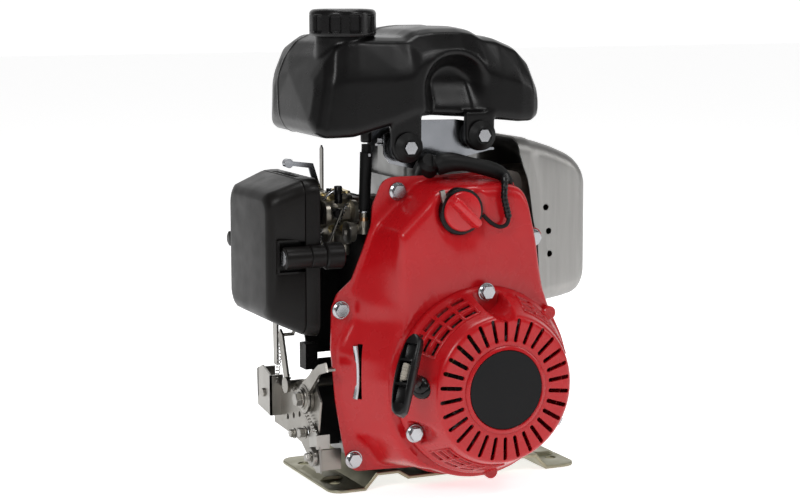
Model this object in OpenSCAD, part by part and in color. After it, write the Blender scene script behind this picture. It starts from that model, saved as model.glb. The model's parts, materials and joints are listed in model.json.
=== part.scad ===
// Small upright four-stroke engine with a belt-driven overhead camshaft and a recoil starter.
// Millimetres. The origin is the centre of the four base holes, on the underside of the base plate.
// +X points to the muffler, -Y to the recoil starter and +Z up. The crankshaft lies along Y.

/* [Crank and cylinder] */
// Height of the crankshaft's axis above the base
crank_z = 97; // [96.5:0.5:97.5]
// Stroke of the piston
stroke = 40; // [39:1:40]
// Radius of the cylinder bore
bore_r = 28; // [27.5:0.5:28.5]
// Distance between the connecting rod's two eyes
rod_length = 78; // [78:0.5:78.5]
// Height of the camshaft's axis above the base
cam_z = 266; // [266:0.5:267]
// How far each valve opens
valve_lift = 4.5; // [4:0.5:5]

/* [Output shaft] */
// Radius of the output shaft
pto_r = 10; // [9:0.5:10.5]
// Where the output shaft ends, behind the origin
pto_end = 149; // [140:1:155]
// Radius of the circle that the four output-face holes lie on
face_hole_circle_r = 46; // [44:1:48]

/* [Base plate] */
// Distance of each base hole from the centre line
base_hole_x = 105; // [103:1:107]
// Distance of each base hole from the cross line
base_hole_y = 36; // [34:1:40]
// Radius of a base hole
base_hole_r = 4.5; // [4:0.25:5]
// Half of the base plate's width
foot_x = 118; // [116:1:122]
// Half of the base plate's depth
foot_y = 62; // [60:1:66]
// Thickness of the base plate's steel
plate_t = 3; // [2.5:0.5:3]

/* [Covers] */
// Where the fan cover's flange ends, in front of the crankcase
cover_back = -62; // [-62.2:0.1:-61.8]
// The fan cover's flat front
cover_front = -105; // [-106:0.5:-105]
// The recoil starter's flat front
starter_front = -149; // [-150:0.5:-149]
// Radius of the starter cover's flange
starter_r = 80; // [79:0.5:81]
// Radius of the starter cover's flat front
starter_face_r = 61; // [60:0.5:62]
// Number of cooling slots round the starter's face
slot_count = 30; // [24:1:32]
// Thickness of the pressed covers
sheet_t = 2; // [1.8:0.1:2.2]

/* [Starter rope] */
// How far the starter handle pulls out
rope_pull = 700; // [500:50:900]
// Radius that the rope winds at
rope_wind_r = 30; // [29:0.5:31]

/* [Fuel tank] */
// Thickness of the tank's wall
tank_wall = 3; // [2:0.5:3]
// Radius of the filler cap
cap_r = 28; // [27:0.5:29]
// Height of the filler cap's top
cap_top = 404; // [403:0.5:406]

/* [Hidden] */
$fn = 48;

fit = 0.05;         // radial clearance of a running fit
gap = 0.3;          // clearance between parts that only pass each other
cut = 1;            // how far a cutter runs past the face that it cuts

// Crank and valve gear
crank_r = stroke / 2;
crankpin_z = crank_z + crank_r;
wrist_z = crankpin_z + rod_length;
crown_z = wrist_z + 18;
deck_z = 214;
chamber_z = 224;
head_top = 240;
head_rim = 256;
journal_r = 12;
crankpin_r = 11;
wrist_r = 7;
valve_y = 13;
port_z = 231;
intake_y = 9;
exhaust_y = -11;
cam_base_r = 9;
belt_y = [36, 44];
crank_pulley_r = 13;
cam_pulley_r = 26;
belt_t = 2.5;

// Spark plug: its tip and the direction that it leaves the head in
plug_tip = [-17, -5, 224];
plug_dir = [-10, -45, 39] / norm([-10, -45, 39]);

// Case
case_front = -44;
case_back = 50;
case_top = 150;
case_bottom = 15;
case_x = 58;
cover_end = 70;
ridge_z = 15;

// Covers and starter
shroud_r = 88;
side_bolt_xz = [69.5, 208];
shroud_bolts_xz = [[-59, 254], [-110.6, 157.6], [-99.4, 29.4], side_bolt_xz];
starter_bolt_r = 75.6;
starter_bolt_angles = [90, 210, 330];
starter_seat = -112;
switch_xz = [-20, 240];
knob_r = 15.5;
guide_at = [-65, -130, 101];
handle_at = [-90, -150, 118];
pull_turn = [0, -28, 218.6];       // turns +X into the direction that the rope is pulled
coil_angle = 78;

// Fuel tank
cap_at = [-93, -30];
neck_z = 384;
lug_at = [[-49, 290], [19, 298]];
lug_y = [-64, -56];
rear_lug_at = [-15, 296];

// Air cleaner and carburettor
ac_screw_at = [[-61, 203], [58, 205]];
carb_x = [-102, -72];
carb_at = [intake_y, port_z];
throttle_at = [-82, carb_at.x];
choke_at = [-92, 243];

// Oil filler
filler_at = [20, 52];

// Controls
lever_at = [-27, 77];
governor_at = [7, 82];

// Cord routes, points chosen along each cord
hose_route = [[-72, -30, 291], [-72.4, -30, 276], [-73.2, -30, 256], [-74, -30, 233]];
hose_r = 4;
lead_route = [
    [-18, -72, 277], [-6, -75, 276.5], [6, -79, 274], [18, -82, 271], [29, -84, 266],
    [35, -85, 258], [36, -85, 248], [34, -83, 236], [31, -79, 224], [28, -75, 213]
];
lead_r = 3.5;
switch_route = [
    [30.5, -90, 251], [29, -91.5, 262], [25, -96, 266], [20.5, -104, 264], [18, -109.5, 258],
    [17, -111, 250], [19, -111.5, 241], [21, -111.5, 233], [18.5, -111.5, 227], [12, -111, 226],
    [5, -109.5, 230], [-0.6, -107, 236]
];
switch_lead_r = 1.8;

// ---- Points and outlines ----

function unit(v) = v / norm(v);

function arc(c, r, a0, a1, n) =
    [for (i = [0:n]) let (a = a0 + (a1 - a0) * i / n) c + r * [cos(a), sin(a)]];

function rounded(x0, x1, y0, y1, r, n = 5) = concat(
    arc([x1 - r, y0 + r], r, -90, 0, n), arc([x1 - r, y1 - r], r, 0, 90, n),
    arc([x0 + r, y1 - r], r, 90, 180, n), arc([x0 + r, y0 + r], r, 180, 270, n)
);

// The same points mirrored in x and in reverse order
function mirrored(p) = [for (i = [len(p) - 1:-1:0]) [-p[i].x, p[i].y]];

// An outline moved inwards by d; its points run anticlockwise
function inset(p, d) = [
    for (i = [0:len(p) - 1])
        let (
            n = len(p), u = unit(p[i] - p[(i + n - 1) % n]), v = unit(p[(i + 1) % n] - p[i]),
            a = [-u.y, u.x], m = unit(a + [-v.y, v.x])
        )
        p[i] + m * d / max(0.5, a * m)
];

function at_y(p, y) = [for (q = p) [q.x, y, q.y]];
function at_x(p, x) = [for (q = p) [x, q.x, q.y]];

// Two circles joined by their outer tangents, the lower one at the origin
function belt_loop(r0, r1, d) =
    let (a = asin((r1 - r0) / d))
    concat(arc([0, 0], r0, 180 + a, 360 - a, 24), arc([0, d], r1, -a, 180 + a, 32));

// A toothed rim
function toothed(r, teeth, depth) = [
    for (i = [0:teeth - 1]) for (k = [0:3])
        let (a = 360 * (i + [0, 0.2, 0.5, 0.7][k]) / teeth, q = [r - depth, r, r, r - depth][k])
        q * [cos(a), sin(a)]
];

// A cam: a base circle joined by tangents to a nose that stands out by the lift
function cam_outline(base_r, nose_r, lift) = belt_loop(base_r, nose_r, base_r + lift - nose_r);

// A spiral strip between two radii
function spiral(r0, r1, turns, t, steps = 22) =
    let (n = turns * steps)
    concat(
        [for (i = [0:n]) let (a = 360 * i / steps, r = r0 + (r1 - r0) * i / n) r * [cos(a), sin(a)]],
        [for (i = [n:-1:0]) let (a = 360 * i / steps, r = r0 + (r1 - r0) * i / n - t)
            r * [cos(a), sin(a)]]
    );

// A smooth curve through route points, with a few steps between each pair
function smooth(p, steps) = concat(
    [for (i = [0:len(p) - 2]) for (s = [0:steps - 1])
        let (
            t = s / steps, a = p[max(i - 1, 0)], b = p[i], c = p[i + 1], d = p[min(i + 2, len(p) - 1)]
        )
        0.5 * (2 * b + (c - a) * t + (2 * a - 5 * b + 4 * c - d) * t * t
            + (3 * b - a - 3 * c + d) * t * t * t)],
    [p[len(p) - 1]]
);

// ---- Solids ----

module ycyl(r, y0, y1, p = [0, 0]) translate([p.x, y0, p.y]) rotate([-90, 0, 0]) cylinder(r=r, h=y1 - y0);

module ycone(r0, r1, y0, y1, p = [0, 0])
    translate([p.x, y0, p.y]) rotate([-90, 0, 0]) cylinder(r1=r0, r2=r1, h=y1 - y0);

module ytube(ro, ri, y0, y1, p = [0, 0]) difference() {
    ycyl(ro, y0, y1, p);
    ycyl(ri, y0 - cut, y1 + cut, p);
}

module xcyl(r, x0, x1, p) translate([x0, p.x, p.y]) rotate([0, 90, 0]) cylinder(r=r, h=x1 - x0);

module xtube(ro, ri, x0, x1, p) difference() {
    xcyl(ro, x0, x1, p);
    xcyl(ri, x0 - cut, x1 + cut, p);
}

module zcyl(r, z0, z1, p) translate([p.x, p.y, z0]) cylinder(r=r, h=z1 - z0);

module box(x0, x1, y0, y1, z0, z1) translate([x0, y0, z0]) cube([x1 - x0, y1 - y0, z1 - z0]);

// An outline in X and Z, drawn out along Y
module xz(y0, y1) translate([0, y1, 0]) rotate([90, 0, 0]) linear_extrude(y1 - y0) children();

// An outline in Y and Z, drawn out along X
module yz(x0, x1) translate([x0, 0, 0]) rotate([90, 0, 90]) linear_extrude(x1 - x0) children();

// A closed skin over a row of rings that have the same number of points
module skin(rings) {
    m = len(rings[0]);
    last = len(rings) - 1;
    polyhedron(
        points = [for (ring = rings) each ring],
        faces = concat(
            [[for (k = [0:m - 1]) k]],
            [for (i = [0:last - 1]) for (k = [0:m - 1])
                let (j = (k + 1) % m) each [
                    [i * m + k, (i + 1) * m + k, (i + 1) * m + j],
                    [i * m + k, (i + 1) * m + j, i * m + j]
                ]],
            [[for (k = [m - 1:-1:0]) last * m + k]]
        )
    );
}

// A round cord along a path; side is a direction that the path never runs along
module cord(path, r, side, facets = 8) {
    last = len(path) - 1;
    skin([for (i = [0:last])
        let (
            d = unit(path[min(i + 1, last)] - path[max(i - 1, 0)]),
            u = unit(cross(d, side)), v = cross(d, u)
        )
        [for (k = [0:facets - 1]) path[i] + r * (cos(360 * k / facets) * u + sin(360 * k / facets) * v)]
    ]);
}

// A flanged hexagon bolt that points down, its flange standing on z = 0
module bolt(shank_r, length) {
    translate([0, 0, -length]) cylinder(r=shank_r, h=length);
    cylinder(r=shank_r * 2.5, h=1.6);
    translate([0, 0, 1.6]) cylinder(r1=shank_r * 2.3, r2=shank_r * 1.9, h=1);
    cylinder(r=shank_r * 1.9, h=6.2, $fn=6);
}

// A bolt whose head faces -Y, seated at y
module front_bolt(p, y, shank_r, length) translate([p.x, y, p.y]) rotate([90, 0, 0]) bolt(shank_r, length);

// A bolt whose head faces +Y, seated at y
module rear_bolt(p, y, shank_r, length) translate([p.x, y, p.y]) rotate([-90, 0, 0]) bolt(shank_r, length);

// Turns +Z into a direction
module aim(d) rotate([0, acos(d.z / norm(d)), atan2(d.y, d.x)]) children();

module on_plug() translate(plug_tip) aim(plug_dir) children();

// Puts +X along the direction that the rope is pulled
module on_pull(p) translate(p) rotate(pull_turn) children();

// ---- Base ----

base_under = [[47.5, 6], [57, 12], [75.6, 12], [86.6, 0], [foot_x, 0]];
base_over = [[foot_x, plate_t], [88, plate_t], [77, ridge_z], [56, ridge_z], [46, 9]];
base_bolt_at = [for (x = [-68, 68]) for (y = [-28, 28]) [x, y]];

module base_plate() color("#96947c") difference() {
    union() {
        intersection() {
            xz(-foot_y, foot_y)
                polygon(concat(mirrored(base_under), base_under, base_over, mirrored(base_over)));
            linear_extrude(ridge_z + cut) polygon(rounded(-foot_x, foot_x, -foot_y, foot_y, 12));
        }
        for (s = [-1, 1]) scale([s, 1, 1])
            xz(-26, 20) polygon([[92, plate_t], [114, plate_t], [110, plate_t + 3], [96, plate_t + 3]]);
    }
    for (x = [-1, 1]) for (y = [-1, 1])
        zcyl(base_hole_r, -cut, plate_t + cut, [x * base_hole_x, y * base_hole_y]);
    for (p = base_bolt_at) zcyl(4.5, 0, ridge_z + cut, p);
}

// ---- Crankcase ----

case_outline = rounded(-case_x, case_x, case_bottom, case_top, 16);
cavity_outline = concat(
    arc([34, 36], 12, -90, 0, 4), arc([0, crank_z], 47, 10, 60, 6), arc([0, crank_z], 47, 120, 170, 6),
    arc([-34, 36], 12, 180, 270, 4)
);
case_bolt_at = [
    [-49, 26], [49, 26], [-51, 88], [51, 88], [-49, 140], [49, 140]
];
tunnel = [34, 47];
fin_levels = [for (z = [158:6:206]) z];

module crankcase() color("#b9bab8") difference() {
    union() {
        xz(case_front, case_back) polygon(case_outline);
        ycyl(36, case_front - 6, case_front + cut, [0, crank_z]);
        for (s = [-1, 1]) {
            box(s > 0 ? 50 : -77, s > 0 ? 77 : -50, -40, 40, ridge_z, ridge_z + 10);
            for (z = [30, 135]) ycyl(7, cover_back + sheet_t, case_front + cut, [s * 44, z]);
        }
        zcyl(34, case_top - cut, deck_z, [0, 0]);
        for (z = fin_levels)
            translate([0, 0, z]) linear_extrude(2) polygon(rounded(-44, 44, -42, 40, 12));
        translate([0, 0, deck_z - 6]) linear_extrude(6) polygon(rounded(-44, 44, -42, 50, 12));
        box(-34, 34, 20, case_back, case_top - cut, deck_z);
        xcyl(17, 57, 66, filler_at);
        xcyl(9, -64, -57, governor_at);
    }
    xz(-28, case_back + cut) polygon(cavity_outline);
    zcyl(bore_r, 130, deck_z + cut, [0, 0]);
    box(-30.5, 30.5, tunnel.x, tunnel.y, 135, deck_z + cut);
    ycyl(26, -42, -27, [0, crank_z]);
    ycyl(15, case_front - 7, -41, [0, crank_z]);
    for (p = case_bolt_at) ycyl(2.6, 30, case_back + cut, p);
    for (p = base_bolt_at) zcyl(4, ridge_z - cut, ridge_z + 11, p);
    xcyl(10.3, 40, 67, filler_at);
    xcyl(4.05, -65, -45, governor_at);
    zcyl(5, 14, 30, [0, -10]);
    for (x = [-36, 36]) for (y = [-34, 26]) zcyl(3, deck_z - 20, deck_z + cut, [x, y]);
}

module crankcase_cover() color("#bcbdbb") difference() {
    union() {
        xz(case_back, 56) polygon(case_outline);
        ycone(60, 54, 56, cover_end, [0, crank_z]);
        for (a = [45:90:315])
            ycyl(10, 56, cover_end, [0, crank_z] + face_hole_circle_r * [cos(a), sin(a)]);
        for (a = [0:45:315])
            translate([0, 0, crank_z]) rotate([0, a, 0]) box(20, 56, 56, 64, -2, 2);
    }
    ycyl(44, case_back - cut, 52, [0, crank_z]);
    ycyl(26, 51, 64, [0, crank_z]);
    ycyl(13, 63, cover_end + cut, [0, crank_z]);
    for (a = [45:90:315])
        ycyl(4, cover_end - 14, cover_end + cut, [0, crank_z] + face_hole_circle_r * [cos(a), sin(a)]);
    for (p = case_bolt_at) ycyl(3.2, case_back - cut, 80, p);
    for (p = case_bolt_at) ycyl(9, 56, 80, p);
}

module drain_plug() color("#c9cacb") {
    translate([0, -10, case_bottom]) mirror([0, 0, 1]) {
        cylinder(r=8, h=1.5);
        translate([0, 0, 1.5]) cylinder(r=6.4, h=3.5, $fn=6);
    }
    zcyl(5, case_bottom, 28, [0, -10]);
}

module main_bearings() color("#d2d4d6") {
    ytube(26, journal_r + fit, -42, -30, [0, crank_z]);
    ytube(26, journal_r + fit, 52, 64, [0, crank_z]);
}

head_bolt_at = [[-32, -22], [32, -22], [-32, 26], [32, 26]];

module case_bolts() color("#d4d5d6") {
    for (p = case_bolt_at) rear_bolt(p, 56, 2.6, 22);
    for (p = base_bolt_at) translate([p.x, p.y, ridge_z + 10]) bolt(4, 16);
    for (p = head_bolt_at) translate([p.x, p.y, p.y < 0 ? 286 : 284]) bolt(2.6, p.y < 0 ? 36 : 34);
}

// ---- Cylinder head ----

cam_box = rounded(-38, 38, -36, 50, 8);

module cylinder_head() color("#b4b5b4") difference() {
    union() {
        translate([0, 0, deck_z]) linear_extrude(4) polygon(rounded(-44, 44, -42, 50, 12));
        for (z = [deck_z + 8, deck_z + 14, deck_z + 20])
            translate([0, 0, z]) linear_extrude(2.4) polygon(rounded(-44, 44, -42, 50, 12));
        translate([0, 0, deck_z]) linear_extrude(head_rim - deck_z) polygon(cam_box);
        xcyl(12.5, -44, 0, [intake_y, port_z]);
        xcyl(12.5, 0, 44, [exhaust_y, port_z]);
        for (s = [-1, 1]) box(-44, -36, intake_y + s * 20 - 6, intake_y + s * 20 + 6, 224, 238);
        for (s = [-1, 1]) box(36, 44, exhaust_y + s * 20 - 6, exhaust_y + s * 20 + 6, 224, 238);
        on_plug() translate([0, 0, 12]) cylinder(r=12, h=20);
    }
    for (y = [-valve_y, valve_y]) {
        zcyl(12.4, deck_z - cut, chamber_z, [0, y]);
        zcyl(9, chamber_z - cut, port_z, [0, y]);
        zcyl(2.5 + fit, port_z, head_top + cut, [0, y]);
    }
    box(-22, 12.4, -9, 9, deck_z - cut, chamber_z);
    xcyl(6.5, -45, 0, [intake_y, port_z]);
    xcyl(6.5, 0, 45, [exhaust_y, port_z]);
    on_plug() translate([0, 0, -5]) cylinder(r=5, h=30);
    on_plug() translate([0, 0, 19]) cylinder(r=10, h=50);
    box(-10.5, 10.5, -26, 30, head_top, head_rim + cut);
    box(-15, 15, -24, 24, 252.5, head_rim + cut);
    box(-30.5, 30.5, 34, 47, deck_z - cut, head_rim + cut);
    for (y = [-31, 24]) ycyl(8 + fit, y, y + 7, [0, cam_z]);
    for (x = [-36, 36]) for (y = [-34, 26]) zcyl(3, deck_z - cut, deck_z + 4, [x, y]);
    for (p = head_bolt_at) zcyl(2.6, 249, head_rim + cut, p);
}

module head_cover() color("#c4c6c8") difference() {
    union() {
        translate([0, 0, head_rim]) linear_extrude(4) polygon(rounded(-40, 40, -38, 50, 8));
        translate([0, 0, head_rim]) linear_extrude(28) polygon(rounded(-36, 36, -34, 34, 8));
        xz(33, 50) polygon(concat([[32.5, head_rim]], arc([0, cam_z], 32.5, 0, 180, 20), [[-32.5, head_rim]]));
    }
    box(-20, 20, -31, 31, head_rim - cut, 282);
    box(-30.5, 30.5, 34, 47, head_rim - cut, cam_z);
    ycyl(30.5, 34, 47, [0, cam_z]);
    ycyl(8 + 4, 30, 35, [0, cam_z]);
    on_plug() translate([0, 0, 19]) cylinder(r=11, h=60);
    for (p = head_bolt_at) zcyl(2.6, head_rim - cut, 285, p);
}

module spark_plug() color("#dcdcd8") on_plug() {
    translate([0, 0, -1]) cylinder(r=1.5, h=2);
    cylinder(r=5, h=19);
    translate([0, 0, 19]) cylinder(r=8.6, h=9, $fn=6);
    translate([0, 0, 28]) cylinder(r1=6, r2=5.2, h=8);
    translate([0, 0, 36]) cylinder(r=5, h=18);
    translate([0, 0, 54]) cylinder(r=2.5, h=4);
}

module plug_cap() color("#1c1b1d") {
    on_plug() difference() {
        union() {
            translate([0, 0, 38]) cylinder(r1=8.4, r2=9.2, h=44);
            translate([0, 0, 82]) cylinder(r1=9.2, r2=6, h=4);
            translate([0, 0, 38]) cylinder(r=9.6, h=4);
        }
        translate([0, 0, 37]) cylinder(r=5, h=17);
        translate([0, 0, 53.9]) cylinder(r=2.5, h=4.1);
    }
    translate(lead_route[0]) aim(lead_route[0] - lead_route[1]) cylinder(r=6, h=11.7);
}

module ignition_lead() color("#1a191b") cord(smooth(lead_route, 4), lead_r, [0, 1, 0]);

module timing_belt() color("#222224") translate([0, 0, crank_z]) xz(belt_y.x, belt_y.y) difference() {
    d = cam_z - crank_z;
    polygon(belt_loop(crank_pulley_r + gap + belt_t, cam_pulley_r + gap + belt_t, d));
    polygon(belt_loop(crank_pulley_r + gap, cam_pulley_r + gap, d));
}

module valve_springs() color("#8a8c90") for (y = [-valve_y, valve_y], i = [0:4])
    translate([0, y, head_top + 1.7 + 0.95 * i]) rotate_extrude($fn = 36)
        translate([7, 0]) circle(r=0.8, $fn=12);

// ---- Covers ----

shroud_back = concat(
    arc([0, crank_z], shroud_r + 3, -118, 30, 18),
    [[76, 150], [70, 166], [66, 188], [60, 212], [54, 238]],
    arc([36, 250], 16, 0, 80, 3), [[18, 267], [-10, 266], [-40, 266]],
    arc([-62, 252], 14, 90, 170, 3),
    [[-81, 243], [-82, 227], [-90, 206], [-100, 182], [-113, 171], [-118, 160], [-119, 124],
     [-115, 81], [-109, 46], [-104, 24], [-97, 19], [-70, 18]]
);
shroud_rise = concat(
    arc([0, crank_z], shroud_r + 1, -118, 30, 18),
    [[73, 150], [67, 166], [63, 188], [57, 212], [51, 237]],
    arc([35, 249], 13, 0, 80, 3), [[18, 263], [-10, 263], [-34, 262]],
    arc([-40, 250], 9, 90, 170, 3),
    [[-66, 236], [-79, 224], [-87, 204], [-96, 182], [-99, 171], [-99, 148], [-113, 124],
     [-110, 81], [-102, 52], [-88, 40], [-84, 26], [-66, 20]]
);
shroud_face = concat(
    arc([0, crank_z], shroud_r - 4, -118, 30, 18),
    [[66, 152], [59, 170], [55, 190], [52, 212], [47, 232]],
    arc([32, 245], 12, 0, 80, 3), [[16, 260], [-10, 259], [-34, 258]],
    arc([-42, 247], 9, 90, 170, 3),
    [[-70, 240], [-74, 224], [-73, 204], [-72, 182], [-71, 170], [-70, 158], [-74, 140],
     [-84, 100], [-82, 70], [-74, 48], [-66, 36], [-52, 26]]
);

module air_guide() color("#6f7172") difference() {
    xz(cover_back, cover_back + sheet_t) {
        polygon(inset(shroud_back, 1));
        translate(side_bolt_xz) circle(r=9);
    }
    box(-100, 100, cover_back - cut, cover_back + sheet_t + cut, 0, ridge_z + 0.5);
    ycyl(30, cover_back - cut, cover_back + sheet_t + cut, [0, crank_z]);
    box(-40, 40, cover_back - cut, cover_back + sheet_t + cut, 172, 246);
    on_plug() translate([0, 0, 60]) cylinder(r=11, h=30);
    for (p = shroud_bolts_xz) ycyl(3, cover_back - cut, cover_back + sheet_t + cut, p);
}

module fan_cover() color("#b9202a") difference() {
    union() {
        xz(cover_back - sheet_t, cover_back) difference() {
            union() {
                polygon(shroud_back);
                translate(side_bolt_xz) circle(r=9);
            }
            polygon(inset(shroud_rise, sheet_t));
        }
        difference() {
            skin([at_y(shroud_rise, cover_back - 1), at_y(shroud_face, cover_front)]);
            skin([
                at_y(inset(shroud_rise, sheet_t), cover_back + cut),
                at_y(inset(shroud_face, sheet_t), cover_front + sheet_t)
            ]);
        }
    }
    ycyl(68, cover_front - cut, cover_front + 10, [0, crank_z]);
    ycyl(19, cover_front - cut, cover_front + 10, switch_xz);
    on_plug() translate([0, 0, 60]) cylinder(r=11, h=40);
    translate([35.5, -85, 240]) cylinder(r=7, h=40);
    translate([30, -90, 240]) cylinder(r=3.5, h=40);
    for (p = shroud_bolts_xz) ycyl(3, cover_front, cover_back + cut, p);
    for (a = starter_bolt_angles)
        ycyl(3, cover_front - cut, cover_front + 3, [0, crank_z] + starter_bolt_r * [cos(a), sin(a)]);
    for (z = [90:8:126]) translate([-108, -84, z]) rotate([0, 0, 28]) cube([20, 6, 5], center=true);
}

module shroud_bolts() color("#d3d5d8") {
    for (p = shroud_bolts_xz) front_bolt(p, cover_back - sheet_t, 3, 8);
    for (a = starter_bolt_angles)
        front_bolt([0, crank_z] + starter_bolt_r * [cos(a), sin(a)], starter_seat, 3, 13);
}

// The starter cover's outline: radius and distance in front of its seat on the fan cover
starter_depth = cover_front - starter_front;
starter_profile = [
    [starter_r, 0], [starter_r, 3], [starter_r - 5, 8], [starter_face_r + 3, starter_depth - 4],
    [starter_face_r - 1, starter_depth], [0, starter_depth]
];
starter_inside = [
    [starter_r - 4, -cut], [starter_r - 4, 2], [starter_r - 8, 8],
    [starter_face_r, starter_depth - 4.5], [starter_face_r - 2.5, starter_depth - 2.5],
    [0, starter_depth - 2.5], [0, -cut]
];

module turned_front(points) translate([0, cover_front, crank_z]) rotate([90, 0, 0])
    rotate_extrude($fn=96) polygon(points);

// One starter pocket: a cup round a bolt that lets its head sit low in the cone
module pocket_cup() intersection() {
    turned_front(concat(starter_profile, [[0, 0]]));
    for (a = starter_bolt_angles) {
        p = [0, crank_z] + starter_bolt_r * [cos(a), sin(a)];
        difference() {
            ycyl(13, starter_front, cover_front, p);
            ycyl(11, starter_front - cut, starter_seat, p);
        }
    }
}

module starter_cover() color("#bb1f29") difference() {
    union() {
        difference() {
            turned_front(concat(starter_profile, [[0, 0]]));
            turned_front(starter_inside);
            for (a = starter_bolt_angles)
                ycyl(11, starter_front - cut, starter_seat, [0, crank_z] + starter_bolt_r * [cos(a), sin(a)]);
        }
        pocket_cup();
        ycyl(8, starter_front + 1, starter_seat, [0, crank_z]);
    }
    for (i = [0:slot_count - 1])
        translate([0, starter_front, crank_z]) rotate([0, 360 * (i + 0.5) / slot_count, 0]) {
            box(41.7, 57.3, -cut, 5, -1.7, 1.7);
            for (x = [41.7, 57.3]) translate([x, -cut, 0]) rotate([-90, 0, 0]) cylinder(r=1.7, h=6, $fn=16);
        }
    for (row = [0:2]) for (a0 = [27, 112, 232]) for (i = [0:3])
        translate([0, -115 - 9 * row, crank_z]) rotate([0, -a0 - 12 * i, 0])
            box(58, 84, -1.6, 1.6, -(5.6 - 0.6 * row), 5.6 - 0.6 * row);
    for (a = starter_bolt_angles)
        ycyl(3, starter_front, cover_front + cut, [0, crank_z] + starter_bolt_r * [cos(a), sin(a)]);
    on_pull(guide_at) rotate([0, 90, 0]) {
        translate([0, 0, -14]) cylinder(r=8, h=20);
        translate([0, 0, -1.8]) cylinder(r=11, h=16);
    }
}

module starter_badge() color("#2a2a2c") ycyl(32.5, starter_front - 1, starter_front, [0, crank_z]);

module rope_guide() color("#161517") on_pull(guide_at) rotate([0, 90, 0]) difference() {
    union() {
        translate([0, 0, -10]) cylinder(r=8, h=12);
        rotate_extrude() polygon(concat([[2.9, -1.5]], arc([5.5, 2], 4.8, -47, 130, 8), [[2.9, 5.8]]));
    }
    translate([0, 0, -11]) cylinder(r=2.9, h=30);
}

module switch_housing() color("#202022") difference() {
    ycyl(19, cover_front - 3, cover_front + 9, switch_xz);
    ycyl(knob_r + 0.6, cover_front - 4, cover_front + 5, switch_xz);
    ycyl(4 + fit, cover_front, cover_front + 10, switch_xz);
}

module switch_lead() color("#2b2a2c") cord(smooth(switch_route, 3), switch_lead_r, unit([1, 2, 0.5]));

module ignition_coil() color("#3b3d40") {
    translate([0, 0, crank_z]) rotate([0, 90 - coil_angle, 0]) {
        for (x = [-16, 8]) box(x, x + 8, -76, -68, 73, 104);
        box(-16, 16, -76, -68, 104, 110);
        box(-7.9, 7.9, -88, -66, 82, 104);
        for (x = [-12, 12]) ycyl(4, -68, cover_back, [x, 100]);
    }
}

// ---- Exhaust ----

guard_outline = concat(
    [[78, 147], [94, 147]], arc([114, 180], 20, -55, -12, 3), arc([114, 246], 20, 0, 50, 4),
    [[112, 278], [90, 290], [62, 294], [62, 277], [70, 257], [75, 222]]
);

guard_t = 1.6;
muffler_x = [70, 116];
guard_post_z = [192, 240];

module muffler() color("#77716a") {
    difference() {
        union() {
            yz(muffler_x.x, muffler_x.y) polygon(rounded(-42, 46, 168, 262, 10));
            xcyl(11, 44, 71, [exhaust_y, port_z]);
            yz(44, 48) polygon(rounded(exhaust_y - 27, exhaust_y + 27, 222, 240, 6));
            ycyl(10, 45, 66, [104, 190]);
            for (z = guard_post_z) xcyl(6, muffler_x.y - cut, 132, [20, z]);
        }
        yz(muffler_x.x + 1.5, muffler_x.y - 1.5) polygon(rounded(-40.5, 44.5, 169.5, 260.5, 9));
        xcyl(8, 43, 73, [exhaust_y, port_z]);
        ycyl(8.5, 40, 67, [104, 190]);
    }
    box(92, 93.5, -40.5, 44.5, 190, 251.5);
}

module muffler_guard() color("#a8a59c") difference() {
    xz(-55, 58) polygon(guard_outline);
    xz(-55 + guard_t, 58 - guard_t)
        for (x = [0, -8, -16]) translate([x, 0]) polygon(inset(guard_outline, guard_t));
    ycyl(13, 50, 60, [104, 190]);
    for (p = [[86, 232], [89, 211], [90, 191]]) ycyl(2.8, -60, -50, p);
    for (z = guard_post_z) xcyl(2.5, 125, 140, [20, z]);
}

// ---- Air cleaner ----

ac_wall = 2.2;
ac_sections = [
    [-169, -48, 43, 153, 251, 8], [-165, -54, 49, 148, 256, 10], [-138, -57, 52, 136, 265, 12],
    [-126, -57, 52, 133.5, 266, 12], [-124, -54, 49, 137, 258, 12]
];

function ac_ring(s, d) = at_x(rounded(s[1] + d, s[2] - d, s[3] + d, s[4] - d, s[5] - d / 2), s[0]);

module ac_boss(x0, x1, r) {
    for (p = ac_screw_at) xcyl(r, x0, x1, p);
}

module air_cleaner_cover() color("#201e20") difference() {
    union() {
        skin([for (i = [0:2]) ac_ring(ac_sections[i], 0)]);
        ac_boss(-157, -138, 8);
    }
    skin([
        at_x(rounded(-48, 43, 154, 250, 7), -166.8), at_x(rounded(-52, 47, 149, 254, 9), -162),
        at_x(rounded(-55, 50, 138, 263, 10), -137)
    ]);
    ac_boss(-158, -137, 3);
}

module air_cleaner_case() color("#2a282a") difference() {
    union() {
        skin([for (i = [2:4]) ac_ring(ac_sections[i], 0)]);
        ac_boss(-138, -122, 7.5);
        xcyl(5, -123, -119, ac_screw_at[0]);
        xcyl(7, -120, -108, ac_screw_at[0]);
        xcyl(15, -125, carb_x.x, carb_at);
    }
    skin([
        at_x(rounded(-55, 50, 138, 263, 10), -139), at_x(rounded(-55, 50, 136, 263, 10), -127)
    ]);
    xcyl(9, -130, carb_x.x + cut, carb_at);
    for (y = [-28:9:26]) box(-137, -130, y, y + 6, 262, 268);
    for (p = ac_screw_at) xcyl(2.5, -139, -124, p);
}

module filter_element() color("#c9b48a") difference() {
    yz(-158, -127) polygon(rounded(-50, 45, 156, 246, 8));
    yz(-152, -126) polygon(rounded(-40, 35, 166, 236, 4));
    for (y = [-40:10:30]) yz(-159, -155) polygon([[y, 150], [y + 5, 150], [y + 5, 250], [y, 250]]);
}

module cover_screws() color("#cfd0d2") for (p = ac_screw_at) difference() {
    union() {
        xcyl(6.2, -160, -157, p);
        xcyl(2.5, -157, -125, p);
    }
    box(-161, -159, p.x - 0.8, p.x + 0.8, p.y - 7, p.y + 7);
}

// ---- Carburettor ----

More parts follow.
